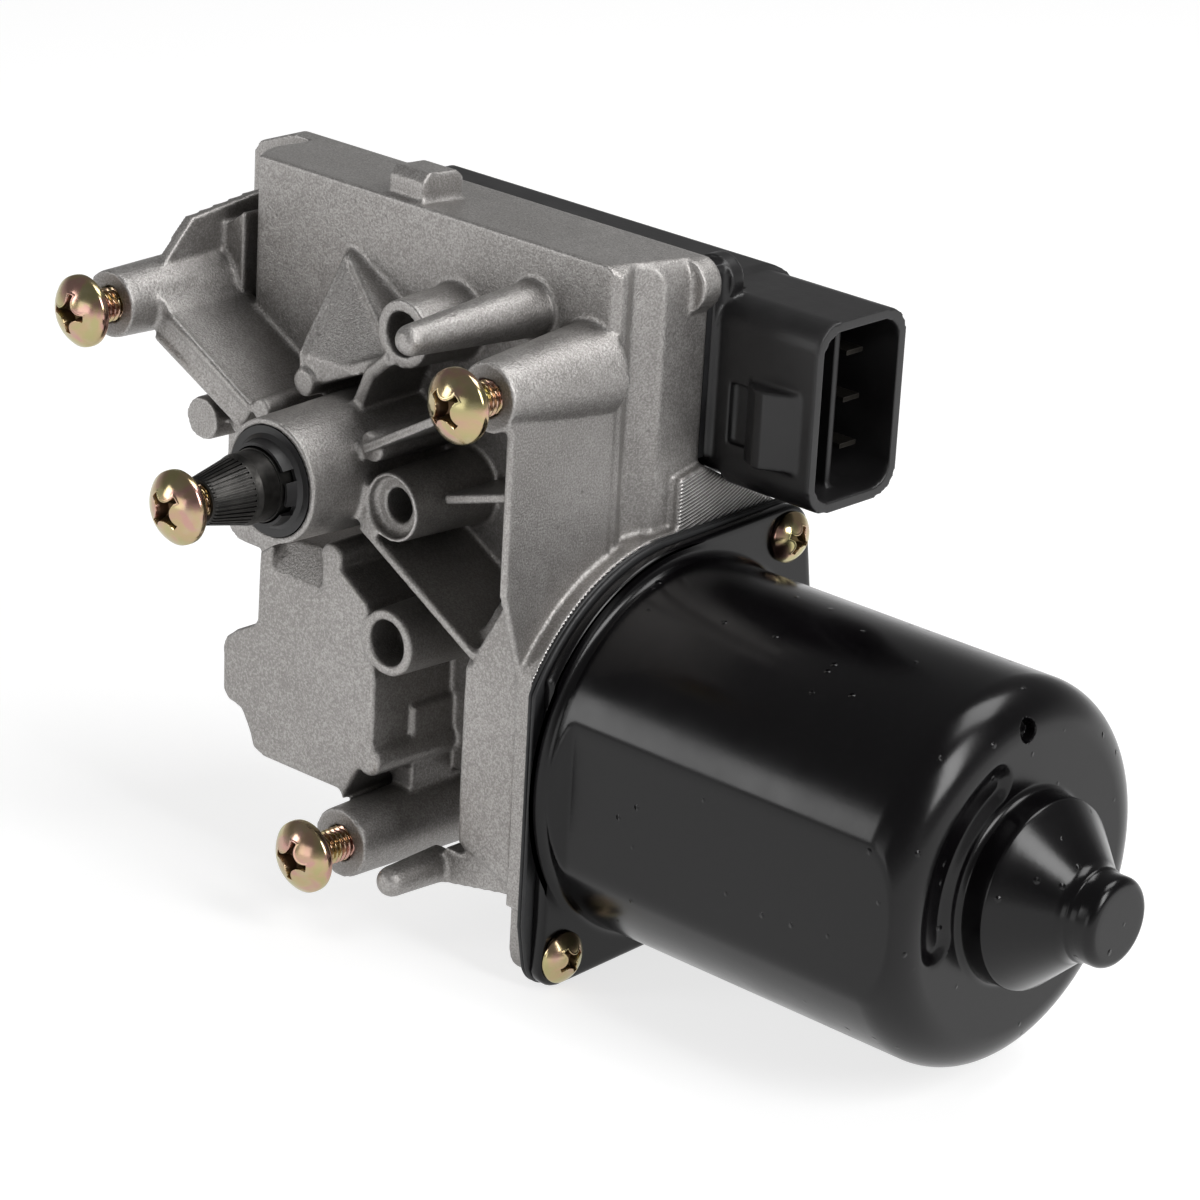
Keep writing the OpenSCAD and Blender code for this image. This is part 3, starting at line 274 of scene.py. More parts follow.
def cast_metal():
    """Die-cast aluminium: grey and a little warm, sandy grain, darker in patches, with painted shade in
    corners and a painted highlight on edges, and turning marks on the milled flange face."""
    grey, pale, patch = rgb(0.34, 0.324, 0.312), rgb(0.42, 0.404, 0.391), rgb(0.28, 0.266, 0.253)
    dark_grain, bright_grain, pitted = rgb(0.2, 0.191, 0.182), rgb(0.66, 0.645, 0.63), rgb(0.18, 0.17, 0.16)
    # The first two tones on the next line are a painted edge highlight and a painted shade for corners.
    edge_rub_and_highlight, painted_corner_shade, fresh_cut = rgb(0.8, 0.785, 0.77), rgb(0.10, 0.093, 0.087), rgb(0.85, 0.84, 0.83)
    m = Finish("cast_aluminium", metallic=0.8)
    grain = m.grain(2900.0, 380.0, 1.0, 0.6)
    pits = m.specks(420.0, 0.22, 0.93)
    milled, arcs = milled_arcs(m)
    tint = m.blend(m.spread(grain["Mottle"], 0.3, 0.7), grey, pale)
    tint = m.blend(m.spread(m.noise(40.0, Detail=4.0), 0.42, 0.66, 0.0, 0.5), tint, patch)
    tint = m.blend(m.spread(grain["Fine"], 0.38, 0.5, 0.5, 0.0), tint, dark_grain)
    tint = m.blend(m.spread(grain["Fine"], 0.52, 0.64, 0.0, 0.36), tint, bright_grain)
    tint = m.blend(m.sums("MULTIPLY", pits, 0.5), tint, pitted)
    # Painted highlight along the edges, broken up by the grain.
    edge_wear_and_highlight = m.sums("MULTIPLY", m.edges(0.0009), m.spread(grain["Fine"], 0.35, 0.6, 0.45, 1.0))
    tint = m.blend(edge_wear_and_highlight, tint, edge_rub_and_highlight)
    # Painted shade: corners and hollows found by ambient occlusion are darkened.
    corner_occlusion = m.add("ShaderNodeAmbientOcclusion", out="AO", samples=4, inputs={"Distance": 0.014})
    tint = m.blend(m.spread(corner_occlusion, 0.3, 0.95, 0.6, 0.0), tint, painted_corner_shade)
    lines = m.sums("MULTIPLY", milled, m.spread(arcs, -0.2, 0.9, 0.0, 0.75))
    m.feed("Base Color", m.blend(lines, tint, fresh_cut))
    m.feed("Roughness", m.sums("SUBTRACT", m.spread(grain["Mottle"], 0.3, 0.7, 0.39, 0.48),
                               m.sums("MULTIPLY", milled, 0.12)))
    height = m.sums("ADD", m.sums("MULTIPLY", grain["Height"], m.spread(milled, 0.0, 1.0, 1.0, 0.3)),
                    m.sums("MULTIPLY", m.sums("MULTIPLY", arcs, milled), 0.8))
    m.bump(m.sums("SUBTRACT", height, m.sums("MULTIPLY", pits, 0.8)), 0.00013, 0.8)
    return m.material


def gloss_paint():
    """Black stoving paint on the can: gentle orange peel, a few paint nibs, faint dust in the gloss."""
    black, dusty = rgb(0.0016, 0.0013, 0.0017), rgb(0.006, 0.0052, 0.0063)
    m = Finish("black_can_paint", IOR=1.38)
    grain = m.grain(1100.0, 75.0, 0.35, 1.0)
    nibs = m.specks(300.0, 0.17, 0.74)
    dust = m.noise(900.0, Detail=5.0, Roughness=0.7)
    m.feed("Base Color", m.blend(m.spread(dust, 0.55, 0.8, 0.0, 0.5), black, dusty))
    m.feed("Roughness", m.spread(grain["Mottle"], 0.3, 0.7, 0.17, 0.27))
    height = m.sums("ADD", m.sums("MULTIPLY", grain["Height"], 0.3), m.sums("MULTIPLY", nibs, 4.5))
    m.bump(height, 0.00007, 0.9)
    return m.material


def moulded_plastic():
    """Black moulded cover: satin with fine spark-eroded grain, a few pale scuffs on its edges."""
    black, lighter, scuffed = rgb(0.008, 0.0075, 0.008), rgb(0.014, 0.0135, 0.014), rgb(0.035, 0.034, 0.034)
    m = Finish("black_moulded_plastic")
    grain = m.grain(1500.0, 90.0, 0.8, 0.6)
    colour = m.blend(m.spread(grain["Mottle"], 0.4, 0.75), black, lighter)
    edge_wear_and_highlight = m.sums("MULTIPLY", m.edges(0.0005), m.spread(grain["Fine"], 0.45, 0.7, 0.0, 0.7))
    m.feed("Base Color", m.blend(edge_wear_and_highlight, colour, scuffed))
    m.feed("Roughness", m.spread(grain["Mottle"], 0.3, 0.7, 0.34, 0.5))
    m.bump(grain["Height"], 0.00003, 0.8)
    return m.material


def yellow_zinc():
    """Yellow passivated zinc: a bright metal whose thin film drifts between olive, straw and rose, and turns
    greener towards the rim of the view. The recess of a head is painted dark, as shade, and is dull."""
    olive, straw, rose = rgb(0.43, 0.38, 0.19), rgb(0.49, 0.36, 0.215), rgb(0.51, 0.30, 0.25)
    pale, green, recess_shade = rgb(0.49, 0.43, 0.28), rgb(0.36, 0.36, 0.13), rgb(0.085, 0.05, 0.022)
    m = Finish("yellow_zinc", metallic=1.0)
    drift = m.noise(210.0, Detail=2.0, Distortion=0.8)
    cloud = m.noise(330.0, Detail=3.0)
    grain = m.grain(2600.0, 700.0, 0.6, 0.7)
    tint = m.blend(m.spread(drift, 0.36, 0.5), olive, straw)
    tint = m.blend(m.spread(drift, 0.5, 0.62), tint, rose)
    tint = m.blend(m.spread(cloud, 0.5, 0.72, 0.0, 0.5), tint, pale)
    rim = m.add("ShaderNodeLayerWeight", out="Facing", inputs={"Blend": 0.42})
    tint = m.blend(m.spread(rim, 0.45, 0.85, 0.0, 0.75), tint, green)
    sunk = m.add("ShaderNodeAttribute", out="Fac", attribute_name="sunk")
    # Painted shade in the head's recess, darker where the recess is deeper.
    m.feed("Base Color", m.blend(m.spread(sunk, 0.05, 0.6, 0.0, 0.85), tint, recess_shade))
    m.feed("Roughness", m.sums("ADD", m.spread(grain["Mottle"], 0.3, 0.7, 0.13, 0.24),
                               m.spread(sunk, 0.05, 0.6, 0.0, 0.3)))
    m.bump(grain["Height"], 0.00001, 0.6)
    return m.material


def plain_metal(name, tone, dark, roughness):
    """Bare or blackened metal: two close tones in a fine grain, rubbed lighter on edges."""
    m = Finish(name, metallic=1.0)
    grain = m.grain(2250.0, 300.0, 0.7, 0.7)
    tint = m.blend(m.spread(grain["Mottle"], 0.35, 0.65), rgb(*dark), rgb(*tone))
    edge_rub_and_highlight = tuple(min(1.0, c * 1.5 + 0.04) for c in tone)
    m.feed("Base Color", m.blend(m.sums("MULTIPLY", m.edges(0.0003), 0.5), tint, rgb(*edge_rub_and_highlight)))
    m.feed("Roughness", m.spread(grain["Fine"], 0.3, 0.7, roughness - 0.06, roughness + 0.1))
    m.bump(grain["Height"], 0.00002, 0.7)
    return m.material


def plain_solid(name, tone, dark, roughness):
    """Rubber, board, ceramic or plastic: two close tones in a fine grain."""
    m = Finish(name)
    grain = m.grain(1400.0, 140.0, 0.8, 0.6)
    m.feed("Base Color", m.blend(m.spread(grain["Mottle"], 0.35, 0.65), rgb(*dark), rgb(*tone)))
    m.feed("Roughness", m.spread(grain["Fine"], 0.3, 0.7, roughness - 0.07, roughness + 0.08))
    m.bump(grain["Height"], 0.00003, 0.8)
    return m.material


FINISHES = {
    "cast_aluminium": cast_metal(),
    "black_paint": gloss_paint(),
    "black_plastic": moulded_plastic(),
    "zinc_steel": yellow_zinc(),
    "rubber": plain_solid("black_rubber", (0.016, 0.016, 0.017), (0.009, 0.009, 0.010), 0.48),
    "circuit_board": plain_solid("circuit_board_green", (0.05, 0.2, 0.1), (0.03, 0.14, 0.07), 0.4),
    "brush_board": plain_solid("brush_board_brown", (0.22, 0.12, 0.06), (0.16, 0.08, 0.04), 0.55),
    "wheel_plastic": plain_solid("wheel_acetal", (0.8, 0.78, 0.7), (0.74, 0.71, 0.62), 0.35),
    "ferrite": plain_solid("dark_ferrite", (0.07, 0.07, 0.075), (0.04, 0.04, 0.045), 0.7),
    "carbon": plain_solid("carbon_brush", (0.05, 0.05, 0.05), (0.03, 0.03, 0.03), 0.6),
    "contact_brass": plain_metal("contact_brass", (0.72, 0.66, 0.5), (0.6, 0.52, 0.36), 0.28),
    "copper": plain_metal("winding_copper", (0.72, 0.36, 0.18), (0.55, 0.25, 0.12), 0.32),
    "dark_steel": plain_metal("blackened_steel", (0.055, 0.053, 0.05), (0.025, 0.024, 0.023), 0.42),
    "sintered_bronze": plain_metal("sintered_bronze", (0.5, 0.36, 0.2), (0.38, 0.27, 0.15), 0.5),
    "bright_steel": plain_metal("ground_steel", (0.66, 0.66, 0.67), (0.52, 0.52, 0.53), 0.26),
}
# The pins in the socket's mouth are painted near black, a painted shade for the deep shadow in the mouth, and
# are duller than the brass contacts inside
OWN_FINISHES = {
    "connector_pins": plain_metal("pins_in_painted_shade", (0.05, 0.046, 0.04), (0.03, 0.027, 0.024), 0.55),
}
SLOT_OF = {row["node"]: row["material_slot"] for row in frame["record"]["subparts"]}

for node_name, cad_piece in nodes.items():
    finish = OWN_FINISHES.get(node_name, FINISHES[SLOT_OF[node_name]])
    for index in range(len(cad_piece.material_slots)):
        cad_piece.material_slots[index].material = finish
    if not cad_piece.material_slots:
        cad_piece.data.materials.append(finish)


# ---------------------------------------------------------------- surfaces
class Shell:
    """Gathers grids of points into one mesh."""

    def __init__(self):
        self.points, self.faces, self.count, self.sunk = [], [], 0, []

    def grid(self, points, first_pole=False, last_pole=False, ring=False, sunk=0.0):
        """Rows of points that close round on themselves. A pole joins the first or last row to its middle
        point, and a ring joins the last row to the first. Faces are turned outwards by the sign of the
        enclosed volume. sunk is how deep a point lies in a recess, from 0 to 1."""
        rows, columns = points.shape[:2]
        flat = points.reshape(-1, 3)
        depth = np.broadcast_to(sunk, (rows, columns)).ravel()
        here = np.arange(rows * columns).reshape(rows, columns)
        right = np.roll(here, -1, axis=1)
        if ring:
            here, right = np.vstack([here, here[:1]]), np.vstack([right, right[:1]])
        quads = np.stack([here[:-1], right[:-1], right[1:], here[1:]], axis=-1).reshape(-1, 4)
        triangles = np.concatenate([quads[:, [0, 1, 2]], quads[:, [0, 2, 3]]])
        for pole, row, order in ((first_pole, 0, (0, 2, 1)), (last_pole, rows - 1, (0, 1, 2))):
            if pole:
                flat = np.vstack([flat, points[row].mean(axis=0)])
                depth = np.append(depth, depth[here[row, 0]])
                fan = np.stack([np.full(columns, len(flat) - 1), here[row], right[row]], axis=-1)
                triangles = np.vstack([triangles, fan[:, list(order)]])
        a, b, c = (flat[triangles[:, k]] for k in range(3))
        if np.einsum("ij,ij->i", a, np.cross(b, c)).sum() < 0:
            triangles = triangles[:, ::-1]
        self.points.append(flat)
        self.sunk.append(depth)
        self.faces.append(triangles + self.count)
        self.count += len(flat)
        return self

    def mesh(self, name):
        """Puts the gathered points and triangles into a mesh, in metres."""
        points, faces = np.vstack(self.points) * MM, np.vstack(self.faces)
        mesh = bpy.data.meshes.new(name)
        mesh.vertices.add(len(points))
        mesh.vertices.foreach_set("co", points.astype(np.float32).ravel())
        mesh.loops.add(faces.size)
        mesh.loops.foreach_set("vertex_index", faces.astype(np.int32).ravel())
        mesh.polygons.add(len(faces))
        mesh.polygons.foreach_set("loop_start", np.arange(0, faces.size, 3, dtype=np.int32))
        mesh.update(calc_edges=True)
        mesh.validate()
        sunk = mesh.attributes.new("sunk", "FLOAT", "POINT")
        sunk.data.foreach_set("value", np.concatenate(self.sunk).astype(np.float32))
        return mesh

    def piece(self, name, body, slot, *stands_for, smooth=42):
        """Makes the piece, with smooth shading up to the given edge angle."""
        mesh = self.mesh(name)
        mesh.shade_smooth()
        mesh.set_sharp_from_angle(angle=math.radians(smooth))
        placed(name, mesh, body, slot, *stands_for)


def placed(name, mesh, body, slot, *stands_for):
    """Links a finished mesh as a piece that rides on a body and takes a slot's finish."""
    piece = bpy.data.objects.new(name, mesh)
    bpy.context.scene.collection.objects.link(piece)
    piece.data.materials.clear()
    piece.data.materials.append(FINISHES[slot])
    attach(piece, body)
    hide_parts(*stands_for)


def line(p, q, n):
    """n points on the straight line from p towards q, without q."""
    t = np.arange(n)[:, None] / n
    return np.asarray(p, float) * (1 - t) + np.asarray(q, float) * t


def arc(centre, radius, start, stop, n):
    """n points on a circle from one angle towards another, in degrees, without the last."""
    a = np.radians(start + (stop - start) * np.arange(n) / n)
    return np.asarray(centre, float) + radius * np.stack([np.cos(a), np.sin(a)], axis=-1)


def round_angles(n):
    """n angles once round, without the last that would repeat the first."""
    return np.linspace(0, TURN, n + 1)[:-1]


def soft_min(a, b, k):
    """The smaller of two values, rounded over a width k where they are close."""
    h = np.clip(0.5 + 0.5 * (b - a) / k, 0, 1)
    return b * (1 - h) + a * h - k * h * (1 - h)


def ease(value, low, high):
    """Smooth step from 0 at low to 1 at high."""
    t = np.clip((value - low) / (high - low), 0, 1)
    return t * t * (3 - 2 * t)


def about_motor(along, radius, angle):
    """Points from distance along the motor axis, radius and angle round it."""
    along, radius, angle = np.broadcast_arrays(along, radius, angle)
    return np.stack([along, MOTOR_Y + radius * np.cos(angle), MOTOR_Z + radius * np.sin(angle)], axis=-1)


def along_y(x, z, y, radius, angle, height, way):
    """Points about an axis along Y through x and z. way is -1 where the height grows forwards."""
    radius, angle, height = np.broadcast_arrays(radius, angle, height)
    return np.stack([x + radius * np.cos(angle), y + way * height, z + radius * np.sin(angle)], axis=-1)


def along_x(x, y, z, radius, angle, height):
    """Points about an axis along X through y and z, with the height growing towards +X."""
    radius, angle, height = np.broadcast_arrays(radius, angle, height)
    return np.stack([x + height, y + radius * np.cos(angle), z + radius * np.sin(angle)], axis=-1)


def lobed_outline(angle, radius, lobe, flat):
    """Radius of the flange outline at each angle: the smallest distance to the support lines of a circle and
    its two lobes, and to the flat in front."""
    least, far = 0.2, 1e3
    tilt = round_angles(1440)[:, None]
    support = np.maximum(radius, LOBE_REACH * np.abs(np.cos(tilt - LOBE_TURN)) + lobe)
    lean = np.cos(tilt - angle[None, :])
    reach = np.where(lean > least, support / np.maximum(lean, least), far).min(axis=0)
    front = -np.cos(angle)
    return np.minimum(reach, np.where(front > least, flat / np.maximum(front, least), far))


# ---------------------------------------------------------------- the can, its seal and the screws
def can_angles():
    """Angles round the can, packed closer near the vent hole."""
    u = np.linspace(-1, 1, 471)[:-1]
    return VENT_ANGLE + math.pi * (0.14 * u + 0.86 * u ** 3 * (1.6 - 0.6 * u ** 2))


def can_outline():
    """Distance along the axis and radius, from the flange along the wall, round the end, up the stepped nose
    and over its cone to the middle of the tip."""
    wall_start, neck_bend = 61, 2.6
    cone_end, neck_end, tip_start = NOSE_END + 7.2, NOSE_END + 9.1, CAN_TIP - 4.2
    return np.vstack([
        line((CAN_FACE, CAN_R + 2.6), (CAN_FACE, CAN_R + FLANGE_BEND), 2),
        arc((CAN_FACE + FLANGE_BEND, CAN_R + FLANGE_BEND), FLANGE_BEND, 180, 270, 8),
        line((CAN_FACE + FLANGE_BEND, CAN_R), (wall_start, CAN_R), 10),
        line((wall_start, CAN_R), (CAN_END - EDGE_R, CAN_R), 18),
        arc((CAN_END - EDGE_R, CAN_R - EDGE_R), EDGE_R, 90, 0, 60),
        line((CAN_END, CAN_R - EDGE_R), (CAN_END, NOSE_R + NOSE_BEND), 34),
        arc((CAN_END + NOSE_BEND, NOSE_R + NOSE_BEND), NOSE_BEND, 180, 270, 14),
        line((CAN_END + NOSE_BEND, NOSE_R), (NOSE_END - NOSE_EDGE, NOSE_R), 4),
        arc((NOSE_END - NOSE_EDGE, NOSE_R - NOSE_EDGE), NOSE_EDGE, 90, 45, 4),
        line((NOSE_END - 0.2, NOSE_R - 0.2), (cone_end, TIP_R + 1.2), 10),
        arc((neck_end, TIP_R + 3.0), neck_bend, 223, 270, 20),
        line((neck_end, TIP_R + 0.4), (tip_start, TIP_R), 2),
        line((tip_start, TIP_R), (CAN_TIP - TIP_EDGE, TIP_R), 2),
        arc((CAN_TIP - TIP_EDGE, TIP_R - TIP_EDGE), TIP_EDGE, 90, 0, 10),
        line((CAN_TIP, TIP_R - TIP_EDGE), (CAN_TIP, 0.3), 5)])


def painted_can():
    """Surface of revolution about the motor axis, from the can's outline. The flange follows the lobed
    outline, two flats are pressed into the wall, and a shallow arc-shaped groove and the vent hole are pressed
    into the end, square to the outline."""
    angle = can_angles()
    outline = can_outline()
    along, radius = outline[:, :1], outline[:, 1:]
    step = np.gradient(outline, axis=0)
    step /= np.linalg.norm(step, axis=1, keepdims=True)
    out_x, out_r = -step[:, 1:], step[:, :1]
    on_wall, on_flange = radius > 20, along < CAN_FACE + 0.8
    # Flats, from behind the flange to the end
    flat = CAN_FLAT + FLAT_LEAD * (1 - ease(along, *FLAT_FADE))
    reach = flat / np.maximum(np.abs(np.cos(angle))[None, :], 0.3)
    pressed = soft_min(np.broadcast_to(radius, reach.shape), reach, 0.55)
    pressed = np.where(on_wall, pressed, radius)
    pressed = np.where(on_flange, np.minimum(radius, reach + 3), pressed)
    # Groove on the end, from one angle to the other, with round ends
    low, high = (math.radians(a) for a in GROOVE_ARC)
    around = np.mod(angle[None, :], TURN)
    beyond = np.maximum(np.maximum(low - around, around - high), 0) * GROOVE_REACH
    off = np.hypot(radius - GROOVE_REACH, beyond)
    groove = GROOVE_DEPTH * (1 - ease(off, *GROOVE_SIDE)) * (along > CAN_END - 4) * (radius > NOSE_R + 1.0)
    # Vent hole
    across = np.hypot(radius - VENT_REACH, (angle[None, :] - VENT_ANGLE) * VENT_REACH)
    vent = VENT_DEPTH * (1 - ease(across, *VENT_SIDE)) * (along > CAN_END - 8) * on_wall
    push = groove + vent
    points = about_motor(along - out_x * push, pressed - out_r * push, angle[None, :])
    # Flange: back face, rim with rounded edges, and front face in to the wall
    rim = lobed_outline(angle, *CAN_RIM)
    rows = [(CAN_X, rim * 0.2), (CAN_X, rim * 0.85), (CAN_X, rim - 0.5), (CAN_X + 0.15, rim - 0.15),
            (CAN_X + 0.5, rim), (CAN_FACE - 0.6, rim), (CAN_FACE - 0.18, rim - 0.2), (CAN_FACE, rim - 0.7),
            (CAN_FACE, np.maximum(rim - 1.6, CAN_R + 2.8))]
    flange = np.stack([about_motor(x, np.minimum(r, rim), angle) for x, r in rows])
    Shell().grid(np.concatenate([flange, points]), True, True).piece(
        "painted_can", "housing", "black_paint", "motor_can", smooth=50)


def ribbed_gasket():
    """Outline of the flange carried round the motor axis with a profile of two soft ribs: the size of a sine
    over its thickness."""
    inset, clear, rib, fall = 6, 0.01, 0.42, 0.45
    angle = round_angles(480)
    rim = lobed_outline(angle, *GASKET_RIM)
    back, front = FLANGE_X + clear, CAN_X - clear
    t = np.linspace(0, 1, 15)
    bulge = rib * np.abs(np.sin(TURN * t)) ** 0.8 - fall
    rows = [about_motor(back, rim - inset, angle)]
    rows += [about_motor(back + (front - back) * s, rim + b, angle) for s, b in zip(t, bulge)]
    rows += [about_motor(front, rim - inset, angle)]
    Shell().grid(np.stack(rows), ring=True).piece(
        "ribbed_gasket", "housing", "rubber", "can_gasket", smooth=40)


def cross_recess(u, v, arm):
    """Depth inside a cross recess in the plane: the four arms lie between four circles on the diagonals and
    end at the length arm. Positive inside."""
    centre, circle, diagonal = 1.106 * arm, 0.64 * arm, 0.7071
    side = np.hypot(np.abs(u) - centre * diagonal, np.abs(v) - centre * diagonal) - circle
    return np.minimum(side, arm - np.hypot(u, v))


def pan_head(head, turn):
    """Rows of a pan head above its seat: flat underneath, a low rim and a spherical top, with the cross recess
    sunk below it and a slight burr along the recess. Gives radius, angle, height and how deep each point lies
    in the recess."""
    angle = round_angles(head.fine)

    def dome_height(r):
        return head.height - (head.dome - np.sqrt(head.dome ** 2 - r ** 2))

    rim = dome_height(head.radius)
    bead = 0.35 * rim
    quarter = np.linspace(0, math.pi / 2, 5)
    side = [(head.radius * s, 0.0) for s in (0.5, 0.9)]
    side += [(head.radius - bead * (1 - math.sin(a)), bead * (1 - math.cos(a))) for a in quarter]
    side += [(head.radius, rim - bead * 0.8)]
    side_r, side_height = np.array(side).T
    recess_edge = head.arm * 1.12
    reach = np.concatenate([np.linspace(head.radius * 0.99, recess_edge, 14)[:-1],
                            np.linspace(recess_edge, 0.04, int(head.fine * 0.36))])
    r = np.concatenate([side_r, reach])[:, None]
    on_side = np.arange(len(r))[:, None] < len(side)
    level = np.concatenate([side_height, dome_height(reach)])[:, None]
    u, v = r * np.cos(angle + turn), r * np.sin(angle + turn)
    inside = cross_recess(u, v, head.arm)
    floor = head.deep * (1 - 0.55 * (np.hypot(u, v) / head.arm) ** 1.5)
    burr = 0.07 * np.exp(-((inside + 0.14) / 0.12) ** 2)
    sunk = np.clip(np.minimum(floor, inside * 3.6), 0, None) - np.where(inside < 0.1, burr, 0)
    sunk = np.where(on_side, 0, sunk)
    return r, angle, level - sunk, np.clip(sunk / head.deep * 1.6, 0, 1)


def thread_rows(outer, pitch, length, fine):
    """Right-handed thread: the radius falls in a rounded vee with the distance along plus the angle."""
    rows_per_pitch, clear = 12, 0.06
    angle = round_angles(fine)
    along = np.linspace(0, length, int(length / pitch * rows_per_pitch) + 1)[:, None]
    phase = np.mod(along / pitch + angle / TURN, 1.0)
    ridge = np.clip(1.35 - 3.0 * np.abs(phase - 0.5), 0, 1)
    fade = ease(along, 0.0, 0.6)
    return along, angle, outer - 0.6 * pitch * (1 - ridge) * fade - clear


def m6_screw(shell, x, z, seat_y, shown, turn):
    """M6 pan head screw: head in front of seat_y, its bare thread behind it."""
    r, angle, height, sunk = pan_head(M6_HEAD, turn)
    shell.grid(along_y(x, z, seat_y, r, angle, height, -1), True, True, sunk=sunk)
    along, angle, radius = thread_rows(M6_RADIUS, M6_PITCH, shown + 1.5, 72)
    shell.grid(along_y(x, z, seat_y - 0.4, radius, angle, along, 1), True, True)


def make_screws():
    """All screws that show: three in the mounting bosses, the crank screw, two at the can and four in the
    cover."""
    bosses = Shell()
    for x, z, shown, turn in MOUNTING_SCREWS:
        m6_screw(bosses, x, z, -shown, shown, turn)
    bosses.piece("mounting_screw_set", "housing", "zinc_steel", "mounting_screws")
    crank = Shell()
    m6_screw(crank, 0, 0, CRANK_SEAT_Y, CRANK_SHOWN, CRANK_TURN)
    crank.piece("crank_pan_screw", "output", "zinc_steel", "crank_screw")
    can = Shell()
    for way in (1, -1):
        y = MOTOR_Y + way * LOBE_REACH * math.cos(LOBE_TURN)
        z = MOTOR_Z + way * LOBE_REACH * math.sin(LOBE_TURN)
        r, angle, height, sunk = pan_head(CAN_HEAD, 0.5 * way)
        can.grid(along_x(CAN_FACE, y, z, r, angle, height), True, True, sunk=sunk)
    can.piece("can_pan_screws", "housing", "zinc_steel", "can_screws")
    cover = Shell()
    for x, z in COVER_SCREWS:
        r, angle, height, sunk = pan_head(COVER_HEAD, x)
        cover.grid(along_y(x, z, COVER_Y, r, angle, height, 1), True, True, sunk=sunk)
    cover.piece("cover_pan_screws", "housing", "zinc_steel", "cover_screws")


# ---------------------------------------------------------------- reworked copies of CAD pieces
def ridge(shell, path, radius):
    """Round bar along a bent line: at each point a circle in the plane across the line from its first to its
    last point, closed at its ends."""
    path = np.asarray(path, float)
    angle = round_angles(16)
    around = radius * np.stack([0 * angle, np.cos(angle), np.sin(angle)], axis=-1)
    way = path[-1] - path[0]
    way /= np.linalg.norm(way)
    across = np.cross(way, (0.0, 1.0, 0.0))
    across /= np.linalg.norm(across)
    lift = np.cross(across, way)
    shell.grid(path[:, None, :] + around @ np.stack([way, lift, across]), True, True)


def housing_ridges():
    """Raised rims of the casting: along both sides of the triangular fin, whose face slopes back towards its
    apex, and along both sides of the left boss's strut."""
    shell = Shell()

    def fin_face(x, z):
        return (x, FIN_Y + max(z - FIN_FOOT_Z, 0) * FIN_SLOPE, z)

    ridge(shell, [fin_face(-12.0, 30.6), fin_face(-10.9, FIN_FOOT_Z), fin_face(-10.4, 11.4)], FIN_RIM_R)
    ridge(shell, [fin_face(-11.8, 30.4), fin_face(8.6, 18.9)], FIN_RIM_R)
    ridge(shell, [(-41.0, STRUT_Y, 11.9), (-20.4, STRUT_Y, 2.1)], STRUT_RIM_R)
    ridge(shell, [(-38.0, STRUT_Y, 15.9), (-18.2, STRUT_Y, 5.6)], STRUT_RIM_R)
    return shell


def cover_collar():
    """Low wall round the cover's screw beside the socket: a ring with a rectangular section."""
    x, z = COVER_SCREWS[1]
    foot, top, inner, outer = COVER_Y - 0.6, COVER_Y + 2.4, 3.3, 4.4
    section = ((inner, foot), (outer, foot), (outer, top), (inner, top))
    return Shell().grid(np.stack([along_y(x, z, 0, r, round_angles(64), y, 1) for r, y in section]), ring=True)


def softened_copy(node, name, slot, added, voxel, rounds, triangles):
    """A copy of a CAD piece with closed shapes added, merged, remeshed finely and smoothed so that its edges
    and inner corners come round as on the real piece, then thinned to a number of triangles."""
    mesh = nodes[node].data.copy()
    work = bmesh.new()
    work.from_mesh(mesh)
    work.from_mesh(added.mesh(name + "_added"))
    bmesh.ops.remove_doubles(work, verts=work.verts, dist=1e-6)
    work.to_mesh(mesh)
    work.free()
    holder = bpy.data.objects.new(name + "_work", mesh)
    bpy.context.scene.collection.objects.link(holder)
    remesh = holder.modifiers.new("remesh", "REMESH")
    remesh.mode = "VOXEL"
    remesh.voxel_size = voxel * MM
    remesh.adaptivity = 0.0
    smooth = holder.modifiers.new("smooth", "SMOOTH")
    smooth.factor = 0.5
    smooth.iterations = rounds
    thin = holder.modifiers.new("thin", "DECIMATE")
    fine = holder.evaluated_get(bpy.context.evaluated_depsgraph_get()).data
    thin.ratio = min(1.0, triangles / (2.0 * len(fine.polygons)))
    bpy.context.view_layer.update()
    result = bpy.data.meshes.new_from_object(holder.evaluated_get(bpy.context.evaluated_depsgraph_get()))
    bpy.data.objects.remove(holder)
    result.shade_smooth()
    placed(name, result, "housing", slot, node)


# ---------------------------------------------------------------- stage
FLOOR_SIZE = 6.0
FLOOR_GLOW, FLOOR_SHADE = 0.74, 0.45
SKY_LOW, SKY_HIGH = 0.6, 0.19
# Place, width, height and power of each lamp. All of them look at AIM.
SOFTBOXES = {
    "front_softbox": ((0.04, -0.97, 0.16), 0.55, 0.40, 1.0),
    "left_softbox": ((-0.545, -0.73, 0.29), 0.30, 0.34, 1.5),
    "right_softbox": ((0.86, 0.02, 0.55), 0.32, 0.60, 6.0),
    "top_softbox": ((0.25, 0.39, 0.89), 0.50, 0.50, 4.6),
}
AIM = (0.04, 0.02, -0.02)


def plain_grey(level):
    return rgb(level, level, level)


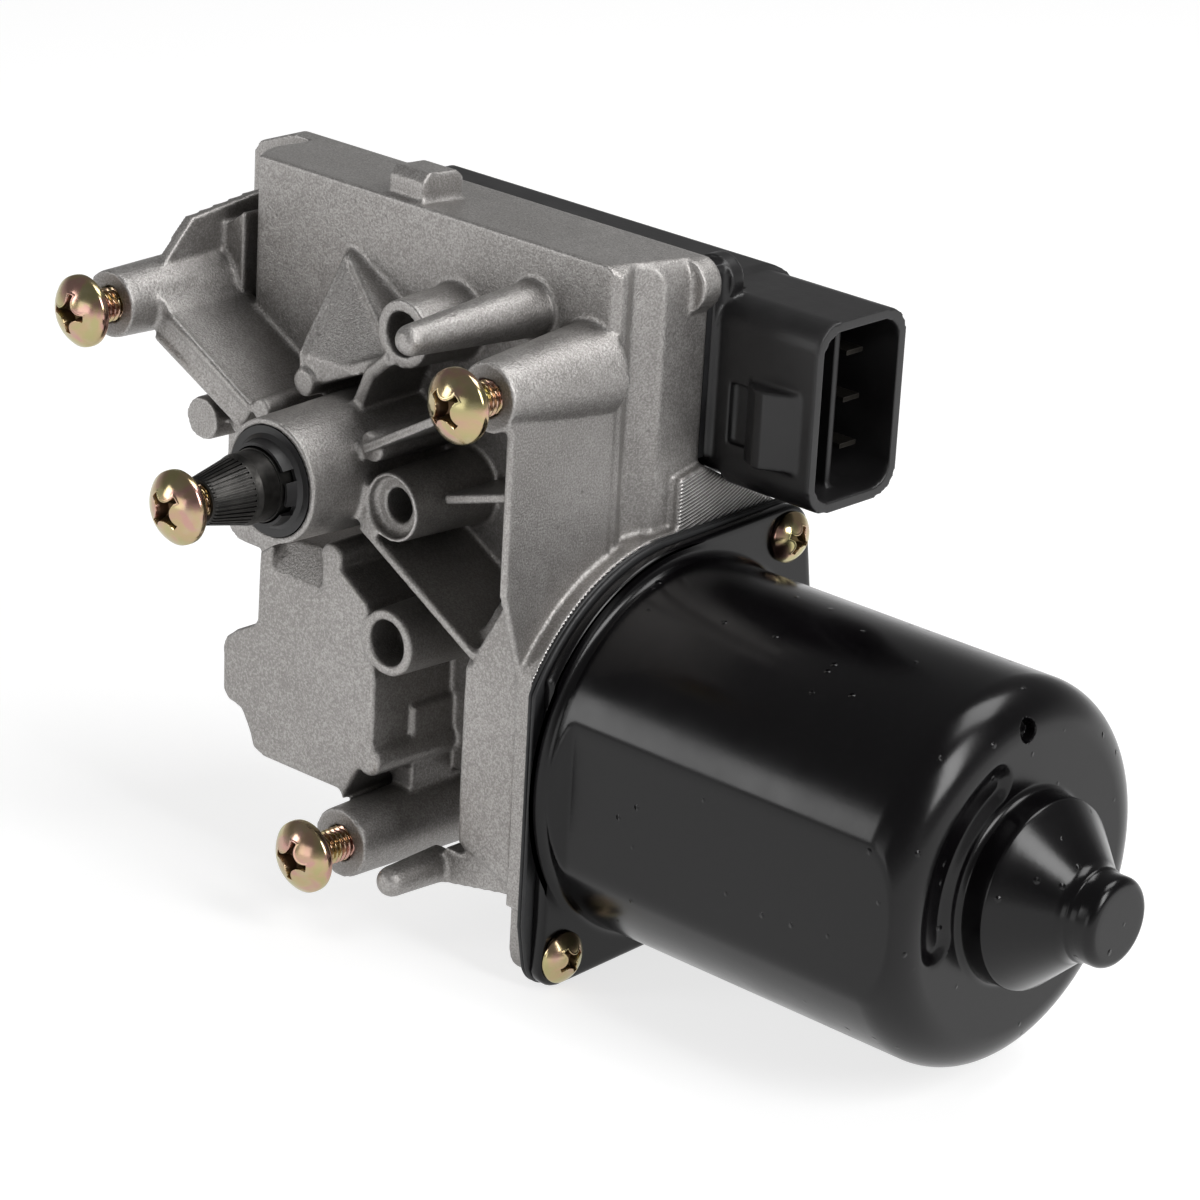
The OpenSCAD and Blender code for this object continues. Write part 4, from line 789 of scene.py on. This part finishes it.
def pale_floor():
    """Pale floor paper that comes out white to the camera, in reflections and through glass, and keeps the
    shadow."""
    low = cad_box[0][2]
    corners = [(x * FLOOR_SIZE, y * FLOOR_SIZE, low) for x, y in ((-1, -1), (1, -1), (1, 1), (-1, 1))]
    mesh = bpy.data.meshes.new("floor")
    mesh.from_pydata(corners, [], [(0, 1, 2, 3)])
    floor = bpy.data.objects.new("floor", mesh)
    bpy.context.scene.collection.objects.link(floor)
    m = Finish("pale_floor", roughness=0.9)
    m.feed("Base Color", m.blend(m.spread(m.noise(3.0), 0.3, 0.7), plain_grey(0.80), plain_grey(0.82)))
    glow = m.add("ShaderNodeEmission", inputs={"Color": plain_grey(1), "Strength": FLOOR_GLOW})
    shade = m.add("ShaderNodeBsdfDiffuse", inputs={"Color": plain_grey(FLOOR_SHADE)})
    seen = m.add("ShaderNodeAddShader", inputs={0: glow, 1: shade})
    path = m.add("ShaderNodeLightPath").node.outputs
    shows_background = m.sums("MAXIMUM", m.sums("MAXIMUM", path["Is Camera Ray"], path["Is Glossy Ray"]),
                              path["Is Transmission Ray"])
    mixed = m.add("ShaderNodeMixShader", inputs={0: shows_background, 1: m.shader.outputs[0], 2: seen})
    m.tree.links.new(mixed, m.tree.nodes["Material Output"].inputs["Surface"])
    mesh.materials.append(m.material)


def studio_sky():
    """Pale near the horizon, like a sweep of paper, and dark above, where the lamps hang."""
    world = bpy.data.worlds.new("studio_world")
    bpy.context.scene.world = world
    world.use_nodes = True
    sky = Wiring(world.node_tree)
    direction = sky.add("ShaderNodeTexCoord", out="Generated")
    height = sky.add("ShaderNodeSeparateXYZ", out=2, inputs={0: direction})
    background = world.node_tree.nodes["Background"].inputs
    shade = sky.blend(sky.spread(height, 0.02, 0.3), plain_grey(SKY_LOW), plain_grey(SKY_HIGH))
    sky.join(shade, background["Color"])
    sky.join(1.0, background["Strength"])


def hang_softboxes():
    for name, (place, width, height, power) in SOFTBOXES.items():
        data = bpy.data.lights.new(name, "AREA")
        data.shape = "RECTANGLE"
        data.size, data.size_y = width, height
        data.energy = power
        lamp = bpy.data.objects.new(name, data)
        bpy.context.scene.collection.objects.link(lamp)
        lamp.location = place
        lamp.rotation_euler = (Vector(AIM) - Vector(place)).to_track_quat("-Z", "Y").to_euler()


photo_camera()
pale_floor()
studio_sky()
hang_softboxes()
painted_can()
ribbed_gasket()
make_screws()
softened_copy("gear_housing", "cast_gear_housing", "cast_aluminium", housing_ridges(),
              voxel=0.45, rounds=2, triangles=196000)
softened_copy("rear_cover", "moulded_rear_cover", "black_plastic", cover_collar(),
              voxel=0.4, rounds=1, triangles=120000)

bpy.context.scene.view_settings.view_transform = "Standard"
